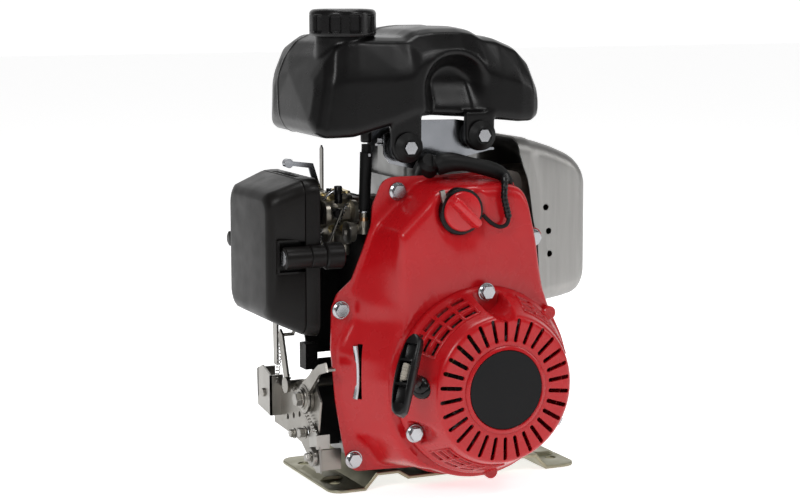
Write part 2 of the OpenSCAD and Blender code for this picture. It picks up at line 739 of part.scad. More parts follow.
module carburetor() color("#b08d5a") difference() {
    union() {
        xcyl(15, carb_x.x, carb_x.y, carb_at);
        for (x = [carb_x.x, carb_x.y - 4]) yz(x, x + 4)
            polygon(rounded(carb_at.x - 24, carb_at.x + 20, port_z - 10, port_z + 10, 8));
        box(-96, -78, carb_at.x - 12, carb_at.x + 10, 212, 222);
        box(-97, -77, carb_at.x - 10, carb_at.x + 12, 240, 247.5);
        zcyl(4.5, 215, 226, [-74, -30]);
        zcyl(2.6, 226, 233, [-74, -30]);
        ycyl(3, -30, 0, [-80, 220]);
        xcyl(3, -80, -74, [-30, 220]);
        xcyl(8, -89, -84, [-30, 217]);
        xcyl(3, -84, -78, [-30, 218]);
        ycyl(4, carb_at.x + 12, carb_at.x + 16, choke_at);
    }
    xcyl(9, carb_x.x - cut, carb_x.y + cut, carb_at);
    zcyl(2 + fit, 243, 250, throttle_at);
    ycyl(2 + fit, carb_at.x, carb_at.x + 20, choke_at);
}

module float_bowl() color("#9c9a92") union() {
    translate([-87, carb_at.x - 1, 0]) {
        translate([0, 0, 199]) cylinder(r=12.5, h=13);
        translate([0, 0, 197]) cylinder(r1=9, r2=12.5, h=2);
        translate([0, 0, 193.5]) cylinder(r=5, h=3.5, $fn=6);
    }
}

module intake_spacer() color("#3a2c22") difference() {
    union() {
        yz(carb_x.y, -44) polygon(rounded(intake_y - 14, intake_y + 14, port_z - 12, port_z + 12, 5));
        for (x = [carb_x.y, -48]) yz(x, x + 4)
            polygon(rounded(intake_y - 24, intake_y + 20, port_z - 9, port_z + 9, 7));
    }
    xcyl(7.5, carb_x.y - cut, -43, [intake_y, port_z]);
}

module throttle_lever() color("#c8b458") translate([throttle_at.x, throttle_at.y, 0]) {
    translate([0, 0, 243.2]) cylinder(r=2, h=9);
    difference() {
        union() {
            translate([0, 0, 248]) cylinder(r=5, h=2);
            translate([-3, -20, 248]) cube([6, 20, 2]);
            translate([0, -20, 248]) cylinder(r=3, h=2);
        }
        translate([0, -20, 247]) cylinder(r=1.4, h=4);
    }
}

module choke_lever() color("#8d8f92") translate([choke_at.x, 0, choke_at.y]) {
    y = carb_at.x + 16 + gap;
    ycyl(2, carb_at.x + 8, y + 2);
    ycyl(6, y, y + 2);
    xz(y, y + 2) polygon([[-3, 0], [3, 0], [-4, 22], [-6, 28], [-30, 31], [-30, 27], [-10, 24], [-9, 20]]);
    ycyl(4, y - 5, y + 2, [-30, 29]);
}

// ---- Fuel tank ----

// One cross-section: front, back, bottom and top, the height where the front slopes back, and how far
tank_sections = [
    [-119, -36, 58, 326, 348, 338, 6], [-116, -52, 68, 314, 362, 342, 16], [-108, -60, 73, 304, 371, 345, 22],
    [-92, -63, 75, 299, 377, 346, 26], [-58, -65, 75, 309, 378, 347, 28], [-38, -64, 75, 315, 382, 350, 26],
    [-30, -52, 75, 315, 386, 368, 14], [-9, -50, 75, 314, 388, 371, 12], [18, -51, 75, 312, 386, 368, 12],
    [36, -64, 74, 310, 378, 350, 22], [56, -63, 72, 308, 372, 346, 24], [68, -60, 68, 308, 360, 338, 18],
    [75, -54, 60, 312, 342, 330, 8]
];

function tank_ring(s, d) =
    let (
        y0 = s[1] + d, y1 = s[2] - d, z0 = s[3] + d, z1 = s[4] - d, h = z1 - z0,
        zc = min(s[5], z1 - 4), b = s[6], r = 5
    )
    at_x(concat(
        arc([y1 - r, z0 + r], r, -90, 0, 3),
        [[y1, z1 - 0.42 * h], [y1 - 4, z1 - 0.27 * h], [y1 - 15, z1 - 0.1 * h], [y1 - 34, z1 - 0.01 * h]],
        [[y0 + b + 12, z1], [y0 + b, z1 - 3], [y0 + 0.25 * b, zc + 5], [y0, zc - 2]],
        arc([y0 + r, z0 + r], r, 180, 270, 3)
    ), s[0] + (s[0] < -100 ? d : s[0] > 60 ? -d : 0));

module fuel_tank() color("#1f1d1f") difference() {
    union() {
        difference() {
            skin([for (s = tank_sections) tank_ring(s, 0)]);
            skin([for (s = tank_sections) tank_ring(s, tank_wall)]);
        }
        zcyl(24, 370, neck_z, cap_at);
        for (p = lug_at) ycyl(14, lug_y.x, lug_y.y, p);
        for (p = lug_at) box(p.x - 14, p.x + 14, lug_y.x, lug_y.y, p.y, 320);
        ycyl(14, 56, 64, rear_lug_at);
        box(rear_lug_at.x - 14, rear_lug_at.x + 14, 56, 64, rear_lug_at.y, 317);
        zcyl(5, 293, 304, [-72, -30]);
        zcyl(2.6, 287, 294, [-72, -30]);
    }
    zcyl(19.5, 360, neck_z + cut, cap_at);
    for (p = lug_at) ycyl(10, lug_y.x - cut, lug_y.y + cut, p);
    ycyl(10, 55, 65, rear_lug_at);
    zcyl(1.5, 286, 310, [-72, -30]);
}

module cap_gasket() color("#141414") difference() {
    zcyl(23.5, neck_z + gap, neck_z + 2, cap_at);
    zcyl(19.5, neck_z, neck_z + 3, cap_at);
}

module filler_cap() color("#191819") difference() {
    union() {
        zcyl(cap_r, 385, cap_top - 4, cap_at);
        translate([cap_at.x, cap_at.y, 382]) cylinder(r1=cap_r - 2, r2=cap_r, h=3);
        translate([cap_at.x, cap_at.y, cap_top - 4]) cylinder(r1=cap_r, r2=cap_r - 3, h=4);
    }
    zcyl(24 + gap, 381, neck_z + 2 + gap, cap_at);
    for (a = [0:36:324]) translate([cap_at.x, cap_at.y, 389]) rotate([0, 0, a])
        translate([cap_r - 1.6, -5.5, 0]) cube([4, 11, 10.2]);
}

module tank_bracket() color("#b3b5b8") {
    difference() {
        union() {
            xz(-51, -49) polygon([
                [-65, 284], [-60, 276], [-40, 271], [-12, 271], [14, 280], [34, 284], [34, 302],
                [30, 307], [2, 311], [-34, 311.5], [-46, 307], [-65, 300]
            ]);
            box(-38, 38, -49, -14, 284, 286);
            box(-38, 38, -51, -49, 284, 286);
        }
        ycyl(12, -52, -48, [-26.5, 268]);
        for (p = lug_at) ycyl(4, -52, -48, p);
        for (i = [0, 1]) zcyl(2.6, 283, 287, head_bolt_at[i]);
    }
    difference() {
        union() {
            xz(50, 52) polygon([[-35, 216], [35, 216], [35, 250], [6, 306], [-36, 306]]);
            ycyl(12, 52, 54, rear_lug_at);
        }
        ycyl(4, 49, 55, rear_lug_at);
    }
}

module tank_rubbers() color("#151415") {
    for (p = lug_at) difference() {
        union() {
            ycyl(10, lug_y.x, lug_y.y, p);
            ycyl(12, lug_y.x - 2, lug_y.x, p);
            ycyl(12, lug_y.y, -51, p);
        }
        ycyl(4, -70, -50, p);
    }
    difference() {
        union() {
            ycyl(10, 56, 64, rear_lug_at);
            ycyl(12, 64, 66, rear_lug_at);
            ycyl(12, 54, 56, rear_lug_at);
        }
        ycyl(4, 50, 70, rear_lug_at);
    }
}

module tank_studs() color("#d8d9da") {
    for (p = lug_at) {
        ycyl(4, -70, -44, p);
        ycyl(7, lug_y.x - 3.5, lug_y.x - 2, p);
        translate([p.x, lug_y.x - 3.5, p.y]) rotate([90, 0, 0]) cylinder(r=5.8, h=4, $fn=6);
    }
    ycyl(4, 46.5 + 3.5, 70, rear_lug_at);
    ycyl(7, 66, 67.5, rear_lug_at);
    translate([rear_lug_at.x, 71.5, rear_lug_at.y]) rotate([90, 0, 0]) cylinder(r=5.8, h=4, $fn=6);
}

module fuel_hose() color("#1d1c1e") difference() {
    cord(smooth(hose_route, 4), hose_r, [0, 1, 0], 12);
    zcyl(2.6, 286, 294, [-72, -30]);
    zcyl(2.6, 230, 234, [-74, -30]);
}

// ---- Controls ----

plate_x = [-124, -122];

module control_plate() color("#7d7a70") difference() {
    union() {
        yz(plate_x.x, plate_x.y) polygon([
            [-50, 17], [-42, 15], [-8, 34], [10, 36], [57, 38], [57, 73], [30, 75], [-12, 90], [-40, 92],
            [-52, 78], [-46, 50], [-50, 34]
        ]);
        box(plate_x.y, -60, 30, 32, 44, 70);
        box(-60, -58, 14, 48, 44, 70);
        box(plate_x.y, -104, -49, -47, 18, 36);
    }
    xcyl(4, -130, -120, [44, 56]);
    xcyl(3, -130, -120, [-22, 46]);
    for (i = [0:2]) xcyl(2.5, -130, -120, [-4 + 14 * i, 58 - 4 * i]);
    xcyl(4.3, -130, -120, governor_at);
    xcyl(4 + fit, -130, -120, lever_at);
}

module control_lever() color("#a7a59c") {
    xcyl(12, -127, -124 - gap, lever_at);
    xcyl(4, -124.4, -118, lever_at);
    xcyl(6, -133, -129, lever_at);
    xcyl(3, -136, -127, lever_at);
    yz(-129, -127) polygon([[-31, 70], [-21, 72], [-24, 90], [-60, 112], [-74, 116], [-78, 109], [-62, 104], [-38, 84]]);
    box(-129, -120, -76, -70, 109, 111);
}

link_from = [-119, 23, 123];
link_to = [-92, -25, 236];

module governor_arm() color("#a9a48f") {
    xcyl(4, -133, -48, governor_at);
    xcyl(7, -133, -130, governor_at);
    yz(-131, -129) polygon([[2, 80], [12, 80], [28, 122], [24, 128], [18, 124]]);
    xcyl(1.5, -131, link_from.x + 1, [link_from.y, link_from.z]);
    translate(link_from) aim(link_to - link_from) cylinder(r=1.3, h=norm(link_to - link_from));
}

// ---- Recoil starter ----

module recoil_spring() color("#6d7075") translate([0, 0, crank_z]) xz(-146, -134.5)
    polygon(spiral(14, 34, 5, 1));

module starter_reel() color("#26262a") {
    difference() {
        union() {
            ycyl(38, -133, -131, [0, crank_z]);
            ycyl(38, -120, -118, [0, crank_z]);
            ycyl(rope_wind_r - 2, -131, -120, [0, crank_z]);
        }
        ycyl(8 + fit, -134, -117, [0, crank_z]);
        for (a = [0:60:300])
            ycyl(5, -134, -117, [0, crank_z] + 19 * [cos(a), sin(a)]);
    }
    for (a = [30, 210])
        ycyl(3.5, -118, -101, [0, crank_z] + 24 * [cos(a), sin(a)]);
}

module starter_rope() color("#d8d6cf") on_pull(handle_at) rotate([0, 90, 0])
    translate([0, 0, -44]) cylinder(r=2, h=44);

handle_half = 33;

module starter_handle() color("#171618") on_pull(handle_at) difference() {
    union() {
        translate([0, 10.5, 0]) rotate([90, 0, 0]) linear_extrude(21) polygon(concat(
            arc([1, -handle_half + 7], 7, 180, 290, 5), [[9, -24], [10, 0], [9, 24]],
            arc([1, handle_half - 7], 7, 70, 180, 5), [[-7, 18], [-10, 9], [-10, -9], [-7, -18]]
        ));
        translate([-24, 0, 0]) rotate([0, 90, 0]) cylinder(r1=6, r2=9, h=16);
    }
    for (z = [-28, -10, 10]) translate([3, -7.5, z]) cube([10, 15, z == -10 ? 18 : 16]);
    translate([-30, 0, 0]) rotate([0, 90, 0]) cylinder(r=2, h=50);
}

// ---- Crank train ----

plug_r = 14;

module web(y0, y1) xz(y0, y1) polygon(concat(
    arc([0, crank_z], 38, 200, 340, 20), arc([0, crankpin_z], 16, 20, 160, 10)
));

module crankshaft() color("#c7c9cb") difference() {
    union() {
        ycone(pto_r, pto_r - 1, pto_end - 1, pto_end, [0, crank_z]);
        ycyl(pto_r, 66, pto_end - 1, [0, crank_z]);
        ycyl(journal_r, 20, 66, [0, crank_z]);
        xz(belt_y.x, belt_y.y) translate([0, crank_z]) polygon(toothed(crank_pulley_r, 20, 0.8));
        web(8.5, 20);
        web(-20, -8.5);
        ycyl(crankpin_r, -9, 9, [0, crankpin_z]);
        ycyl(journal_r, -50, -20, [0, crank_z]);
        ycone(8.5, journal_r, -92, -50, [0, crank_z]);
        ycyl(7, -104, -92, [0, crank_z]);
    }
    ycyl(3.4, pto_end - 24, pto_end + cut, [0, crank_z]);
    box(-2.5, 2.5, 100, pto_end + cut, crank_z + pto_r - 3, crank_z + pto_r + cut);
    ycyl(plug_r + fit, -21, -10.6, [0, crank_z + crank_r / 2]);
}

module web_plug() color("#8f9194") ycyl(plug_r, -19.5, -11, [0, crank_z + crank_r / 2]);

module flywheel() color("#a9abad") difference() {
    union() {
        ycyl(20, -92, -50.5, [0, crank_z]);
        ycyl(72, -72, -66, [0, crank_z]);
        ytube(72, 61, -79, -63, [0, crank_z]);
        for (a = [0:22.5:337.5]) translate([0, 0, crank_z]) rotate([0, a, 0])
            box(36, 70, -90, -72, -1.2, 1.2);
    }
    ycone(8.5, journal_r, -92, -50, [0, crank_z]);
}

module starter_cup() color("#cdbf74") {
    ytube(34, 7, -94, -92, [0, crank_z]);
    ytube(34, 31.5, -108, -94, [0, crank_z]);
    difference() {
        translate([0, -94, crank_z]) rotate([90, 0, 0]) cylinder(r=11, h=7, $fn=6);
        ycyl(7, -102, -93, [0, crank_z]);
    }
}

ring_levels = [crown_z - 4.5, crown_z - 8.5, crown_z - 13];
ring_t = 1.6;

module piston() color("#bdbfc0") difference() {
    zcyl(bore_r - fit, wrist_z - 14, crown_z, [0, 0]);
    difference() {
        zcyl(23.5, wrist_z - 15, crown_z - 7, [0, 0]);
        for (y = [-25, 9]) box(-10, 10, y, y + 16, wrist_z - 10, crown_z);
    }
    for (z = ring_levels) difference() {
        zcyl(bore_r + cut, z, z + ring_t, [0, 0]);
        zcyl(24.8, z - cut, z + ring_t + cut, [0, 0]);
    }
    ycyl(wrist_r, -40, 40, [0, wrist_z]);
}

module piston_rings() color("#8b8d90") for (z = ring_levels) difference() {
    zcyl(bore_r - 0.02, z, z + ring_t, [0, 0]);
    zcyl(24.8, z - cut, z + ring_t + cut, [0, 0]);
}

module piston_pin() color("#caccce") ytube(wrist_r, 4, -24, 24, [0, wrist_z]);

module connecting_rod() color("#b2b4b6") difference() {
    union() {
        ycyl(10.5, -8, 8, [0, wrist_z]);
        ycyl(16.5, -8, 8, [0, crankpin_z]);
        xz(-8, 8) polygon([[-9, crankpin_z + 10], [9, crankpin_z + 10], [6, wrist_z - 5], [-6, wrist_z - 5]]);
        box(-20, 20, -6, 6, crankpin_z - 9, crankpin_z + 9);
    }
    for (y = [-9, 4]) xz(y, y + 5) polygon([
        [-5, crankpin_z + 20], [5, crankpin_z + 20], [3.4, wrist_z - 14], [-3.4, wrist_z - 14]
    ]);
    ycyl(wrist_r + fit, -9, 9, [0, wrist_z]);
    ycyl(crankpin_r + fit, -9, 9, [0, crankpin_z]);
}

// ---- Valve gear ----

module cam_lobe(y, turn) translate([0, y - 4, cam_z]) rotate([0, turn, 0])
    xz(0, 8) polygon(cam_outline(cam_base_r, 4, valve_lift));

module camshaft() color("#b9bbbd") {
    ycyl(8, -31, 36, [0, cam_z]);
    cam_lobe(-valve_y, 62);
    cam_lobe(valve_y, -62);
    xz(belt_y.x, belt_y.y) translate([0, cam_z]) difference() {
        polygon(toothed(cam_pulley_r, 40, 0.8));
        for (a = [0:60:300]) translate(16 * [cos(a), sin(a)]) circle(r=5);
    }
}

follower_z = cam_z - cam_base_r - valve_lift - gap;

module valve(y) {
    zcyl(10.8, chamber_z - 2.6, chamber_z - gap, [0, y]);
    translate([0, y, chamber_z - 0.31]) cylinder(r1=8.4, r2=2.5, h=5);
    zcyl(2.5, chamber_z - gap, follower_z, [0, y]);
    zcyl(8.5, follower_z - 3, follower_z, [0, y]);
}

module intake_valve() color("#a4a6a9") valve(valve_y);

module exhaust_valve() color("#8f8a84") valve(-valve_y);

// ---- Small controls ----

module switch_knob() color("#c0232d") {
    ycyl(knob_r, cover_front - 5, cover_front + 4, switch_xz);
    ycyl(4, cover_front + 4, cover_front + 8.5, switch_xz);
    translate([switch_xz.x, 0, switch_xz.y]) rotate([0, 45, 0])
        box(-14, 14, cover_front - 19, cover_front - 5, -4.5, 4.5);
}

module oil_dipstick() color("#2a2a2c") {
    xcyl(17, 66 + gap, 74, filler_at);
    xcyl(10, 48, 67, filler_at);
    xcyl(2, 30, 49, filler_at);
    box(74, 82, filler_at.x - 2.5, filler_at.x + 2.5, filler_at.y - 12, filler_at.y + 12);
}

base_plate();
case_bolts();
crankcase();
crankcase_cover();
cylinder_head();
head_cover();
air_guide();
fan_cover();
shroud_bolts();
starter_cover();
starter_badge();
rope_guide();
switch_housing();
switch_lead();
ignition_coil();
spark_plug();
plug_cap();
ignition_lead();
muffler();
muffler_guard();
air_cleaner_case();
air_cleaner_cover();
filter_element();
cover_screws();
carburetor();
float_bowl();
intake_spacer();
fuel_tank();
tank_bracket();
tank_rubbers();
tank_studs();
fuel_hose();
control_plate();
drain_plug();
main_bearings();
timing_belt();
valve_springs();
recoil_spring();
cap_gasket();
filler_cap();
starter_handle();
starter_rope();
starter_reel();
crankshaft();
flywheel();
starter_cup();
web_plug();
piston();
piston_rings();
piston_pin();
connecting_rod();
camshaft();
intake_valve();
exhaust_valve();
throttle_lever();
choke_lever();
governor_arm();
control_lever();
switch_knob();
oil_dipstick();
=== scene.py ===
import json
import math

import bmesh
import bpy
import numpy as np
from mathutils import Matrix, Vector


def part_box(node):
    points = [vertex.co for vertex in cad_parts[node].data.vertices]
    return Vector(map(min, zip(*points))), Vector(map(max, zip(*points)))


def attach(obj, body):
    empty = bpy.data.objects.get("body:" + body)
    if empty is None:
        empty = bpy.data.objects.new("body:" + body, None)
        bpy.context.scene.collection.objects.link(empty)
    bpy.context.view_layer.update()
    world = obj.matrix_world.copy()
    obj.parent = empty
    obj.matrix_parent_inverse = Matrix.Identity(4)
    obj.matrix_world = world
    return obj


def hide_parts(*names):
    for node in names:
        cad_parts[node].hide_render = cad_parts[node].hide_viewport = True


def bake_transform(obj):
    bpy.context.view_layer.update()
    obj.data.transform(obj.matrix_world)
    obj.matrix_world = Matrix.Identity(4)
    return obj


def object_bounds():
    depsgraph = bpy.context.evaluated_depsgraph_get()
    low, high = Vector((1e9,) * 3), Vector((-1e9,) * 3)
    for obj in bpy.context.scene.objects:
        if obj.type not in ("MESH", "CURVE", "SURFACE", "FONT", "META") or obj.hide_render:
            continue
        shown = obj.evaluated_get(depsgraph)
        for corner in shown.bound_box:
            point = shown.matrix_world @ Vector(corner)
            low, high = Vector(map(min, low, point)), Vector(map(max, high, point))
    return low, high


# The looks of a small gasoline engine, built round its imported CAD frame.
# Shapes are worked out in millimetres, in the frame's axes: +X muffler, -Y starter, +Z up.

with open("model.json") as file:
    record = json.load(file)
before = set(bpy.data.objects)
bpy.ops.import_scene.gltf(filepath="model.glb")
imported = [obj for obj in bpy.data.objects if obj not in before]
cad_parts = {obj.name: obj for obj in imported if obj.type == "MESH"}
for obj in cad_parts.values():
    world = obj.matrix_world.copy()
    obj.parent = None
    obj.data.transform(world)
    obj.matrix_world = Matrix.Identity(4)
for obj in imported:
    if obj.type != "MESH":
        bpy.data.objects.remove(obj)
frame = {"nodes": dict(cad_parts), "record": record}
cad_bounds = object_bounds()
nodes = frame["nodes"]
MM = 0.001
RIGHT, LEFT, BACK, FRONT, UP = (1, 0, 0), (-1, 0, 0), (0, 1, 0), (0, -1, 0), (0, 0, 1)


# ---- Camera, lights and floor ----

def add_camera():
    """An 85 mm lens that looks at the engine from its front left."""
    turn, drop, distance = math.radians(24.5), math.radians(8.2), 1.65
    look = Vector((math.sin(turn) * math.cos(drop), math.cos(turn) * math.cos(drop), -math.sin(drop)))
    centre = Vector((-0.02705, 0, 0.19426))
    data = bpy.data.cameras.new("camera")
    data.lens, data.sensor_width = 85, 36
    data.clip_start, data.clip_end = 0.05, 60
    camera = bpy.data.objects.new("camera", data)
    camera.location = centre - distance * look
    camera.rotation_euler = look.to_track_quat("-Z", "Y").to_euler()
    bpy.context.scene.collection.objects.link(camera)
    bpy.context.scene.camera = camera


def add_softbox(name, at, target, width, height, power):
    data = bpy.data.lights.new(name, "AREA")
    data.shape, data.size, data.size_y, data.energy = "RECTANGLE", width, height, power
    light = bpy.data.objects.new(name, data)
    light.location = at
    light.rotation_euler = (Vector(target) - Vector(at)).to_track_quat("-Z", "Y").to_euler()
    bpy.context.scene.collection.objects.link(light)


def set_inputs(node, **inputs):
    """Sets a node's own inputs; an underscore stands for the space in an input's name."""
    for name, value in inputs.items():
        node.inputs[name.replace("_", " ")].default_value = value
    return node


def add_world():
    """A dim white world that brightens towards the back right, as a lit backdrop does."""
    world = bpy.data.worlds.new("studio")
    world.use_nodes = True
    tree = world.node_tree
    background = set_inputs(tree.nodes["Background"], Color=(1, 1, 1, 1))
    where = tree.nodes.new("ShaderNodeTexCoord")
    facing = tree.nodes.new("ShaderNodeVectorMath")
    facing.operation = "DOT_PRODUCT"
    facing.inputs[1].default_value = (0.41, 0.91, 0)
    bright = set_inputs(tree.nodes.new("ShaderNodeMapRange"), From_Min=0.55, From_Max=0.9, To_Min=0.20,
                        To_Max=1.1)
    tree.links.new(where.outputs["Generated"], facing.inputs[0])
    tree.links.new(facing.outputs["Value"], bright.inputs["Value"])
    tree.links.new(bright.outputs["Result"], background.inputs["Strength"])
    bpy.context.scene.world = world
    bpy.context.scene.view_settings.view_transform = "Standard"


def add_lights():
    middle = (0, 0, 0.2)
    add_softbox("key_light", (-1.5, -1.3, 1.5), middle, 0.7, 0.7, 20)
    add_softbox("top_light", (0.1, 0.1, 1.9), middle, 0.9, 0.7, 14)
    add_softbox("front_light", (0.8, -1.75, 2.0), middle, 0.6, 0.45, 12)
    add_softbox("right_light", (1.7, -1.0, 0.9), middle, 0.4, 1.2, 7)


def add_floor():
    half = 9000
    corners = [(-half, -half, 0), (half, -half, 0), (half, half, 0), (-half, half, 0)]
    floor = mesh_object("floor", corners, [(0, 1, 2, 3)])
    floor.location.z = cad_bounds[0][2] - 0.0002
    paint = bpy.data.materials.new("floor_paint")
    paint.use_nodes = True
    set_inputs(paint.node_tree.nodes["Principled BSDF"], Base_Color=(0.9, 0.9, 0.9, 1), Roughness=0.9,
               Specular_IOR_Level=0.1, Emission_Color=(1, 1, 1, 1), Emission_Strength=0.7)
    floor.data.materials.append(paint)


# ---- Mesh helpers ----

def mesh_object(name, points, faces, smooth=True):
    """A new object from points in millimetres."""
    mesh = bpy.data.meshes.new(name)
    mesh.from_pydata([Vector(p) * MM for p in points], [], [tuple(int(i) for i in f) for f in faces])
    mesh.validate()
    obj = bpy.data.objects.new(name, mesh)
    bpy.context.scene.collection.objects.link(obj)
    if smooth:
        mesh.polygons.foreach_set("use_smooth", [True] * len(mesh.polygons))
    return obj


def loft(rings, caps=True):
    """Points and faces of a skin over rings that have the same number of points."""
    count = len(rings[0])
    points = [tuple(p) for ring in rings for p in ring]
    faces = []
    for i in range(len(rings) - 1):
        for j in range(count):
            k = (j + 1) % count
            faces.append((i * count + j, i * count + k, (i + 1) * count + k, (i + 1) * count + j))
    if caps:
        faces.append(tuple(reversed(range(count))))
        faces.append(tuple(range((len(rings) - 1) * count, len(rings) * count)))
    return points, faces


def joined(*shapes):
    """Several (points, faces) pairs as one."""
    points, faces = [], []
    for shape_points, shape_faces in shapes:
        base = len(points)
        points += shape_points
        faces += [tuple(i + base for i in f) for f in shape_faces]
    return points, faces


def moved(shape, matrix):
    points, faces = shape
    return [tuple(matrix @ Vector(p)) for p in points], faces


def circle(radius, sides):
    turns = [2 * math.pi * i / sides for i in range(sides)]
    return [(radius * math.cos(a), radius * math.sin(a)) for a in turns]


def turned(profile, at, axis, sides):
    """A closed solid turned about axis; profile has (radius, distance along axis) from end to end."""
    to_axis = Matrix.Translation(Vector(at)) @ Vector(axis).to_track_quat("Z", "Y").to_matrix().to_4x4()
    rings = [[(x, y, along) for x, y in circle(max(radius, 0.01), sides)] for radius, along in profile]
    return moved(loft(rings), to_axis)


def rod(radius, start, end, at, axis, sides=64):
    """A plain cylinder between two distances along its axis."""
    return turned([(radius, start), (radius, end)], at, axis, sides)


def tube(route, radius, sides):
    """A round tube along a route of points."""
    route = [Vector(p) for p in route]
    ahead = (route[1] - route[0]).normalized()
    side = ahead.orthogonal().normalized()
    rings = []
    for i, p in enumerate(route):
        new = (route[min(i + 1, len(route) - 1)] - route[max(i - 1, 0)]).normalized()
        side = (ahead.rotation_difference(new) @ side).normalized()
        ahead = new
        other = ahead.cross(side)
        rings.append([p + radius * (u * side + v * other) for u, v in circle(1, sides)])
    return loft(rings)


def smooth_route(route, steps):
    """A curve through the route's points."""
    pts = [Vector(p) for p in route]
    pts = [2 * pts[0] - pts[1]] + pts + [2 * pts[-1] - pts[-2]]
    out = []
    for a, b, c, d in zip(pts, pts[1:], pts[2:], pts[3:]):
        for k in range(steps):
            t = k / steps
            out.append(0.5 * (2 * b + (c - a) * t + (2 * a - 5 * b + 4 * c - d) * t * t
                              + (3 * b - a - 3 * c + d) * t ** 3))
    return out + [pts[-2]]


def coil_route(start, end, radius, turns, steps=12):
    """A helix between two points."""
    start, end = Vector(start), Vector(end)
    along = end - start
    side = along.orthogonal().normalized()
    other = along.normalized().cross(side)
    return [start + along * (i / (turns * steps))
            + radius * (math.cos(2 * math.pi * i / steps) * side + math.sin(2 * math.pi * i / steps) * other)
            for i in range(turns * steps + 1)]


def block(low, high):
    """A box between two corners."""
    (x0, y0, z0), (x1, y1, z1) = low, high
    return loft([[(x0, y0, z0), (x1, y0, z0), (x1, y1, z0), (x0, y1, z0)],
                 [(x0, y0, z1), (x1, y0, z1), (x1, y1, z1), (x0, y1, z1)]])


def rounded_rectangle(x0, x1, y0, y1, radius, steps):
    """Points of a rectangle with round corners, anticlockwise from the lower right."""
    corners = [(x1 - radius, y0 + radius, -90), (x1 - radius, y1 - radius, 0),
               (x0 + radius, y1 - radius, 90), (x0 + radius, y0 + radius, 180)]
    return [(cx + radius * math.cos(math.radians(a + 90 * i / steps)),
             cy + radius * math.sin(math.radians(a + 90 * i / steps)))
            for cx, cy, a in corners for i in range(steps + 1)]


def baked(obj):
    """Applies the object's modifiers to its mesh."""
    graph = bpy.context.evaluated_depsgraph_get()
    mesh = bpy.data.meshes.new_from_object(obj.evaluated_get(graph))
    obj.modifiers.clear()
    old = obj.data
    obj.data = mesh
    bpy.data.meshes.remove(old)


def add_modifier(obj, kind, **settings):
    modifier = obj.modifiers.new(kind.lower(), kind)
    for key, value in settings.items():
        setattr(modifier, key, value)


def modified(obj, kind, **settings):
    """Adds one modifier and applies it."""
    add_modifier(obj, kind, **settings)
    baked(obj)


def turn_outwards(obj):
    """Makes every face look outwards."""
    work = bmesh.new()
    work.from_mesh(obj.data)
    bmesh.ops.recalc_face_normals(work, faces=work.faces)
    work.to_mesh(obj.data)
    work.free()
    return obj


def turn_towards(obj, direction):
    """Makes an open sheet's faces look in one direction."""
    turn_outwards(obj)
    total = sum((f.normal * f.area for f in obj.data.polygons), Vector())
    if total.dot(Vector(direction)) < 0:
        obj.data.flip_normals()


def solid(name, shape, smooth=True):
    """A new object from a closed (points, faces) shape, facing outwards."""
    return turn_outwards(mesh_object(name, *shape, smooth=smooth))


def cut_away(obj, *shapes):
    """Takes closed shapes out of the object, one after another."""
    for shape in shapes:
        cutter = solid("cutter", shape, smooth=False)
        modified(obj, "BOOLEAN", operation="DIFFERENCE", solver="MANIFOLD", object=cutter)
        bpy.data.objects.remove(cutter)


def sharpen(obj, degrees=35):
    """Marks edges sharper than an angle, so that smooth shading stops there."""
    obj.data.polygons.foreach_set("use_smooth", [True] * len(obj.data.polygons))
    work = bmesh.new()
    work.from_mesh(obj.data)
    limit = math.radians(degrees)
    for edge in work.edges:
        edge.smooth = len(edge.link_faces) == 2 and edge.calc_face_angle(0) < limit
    work.to_mesh(obj.data)
    work.free()
    return obj


def bevelled(obj, width, degrees=30):
    """Rounds the edges that are sharper than an angle."""
    modified(obj, "BEVEL", width=width * MM, segments=2, limit_method="ANGLE",
             angle_limit=math.radians(degrees), use_clamp_overlap=True)
    return sharpen(obj, 50)


def place(obj, body, slot, *replaced, look=None):
    """Rides the piece on its body and gives it a finish: the slot's own, unless look names another."""
    obj.data.materials.clear()
    obj.data.materials.append(looks[look or slot])
    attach(obj, body)
    if replaced:
        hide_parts(*replaced)


def put(name, shape, slot, *replaced, body="engine", look=None, crease=40):
    """One piece made from a closed shape, with its sharp edges kept."""
    place(sharpen(solid(name, shape), crease), body, slot, *replaced, look=look)


# ---- Materials ----

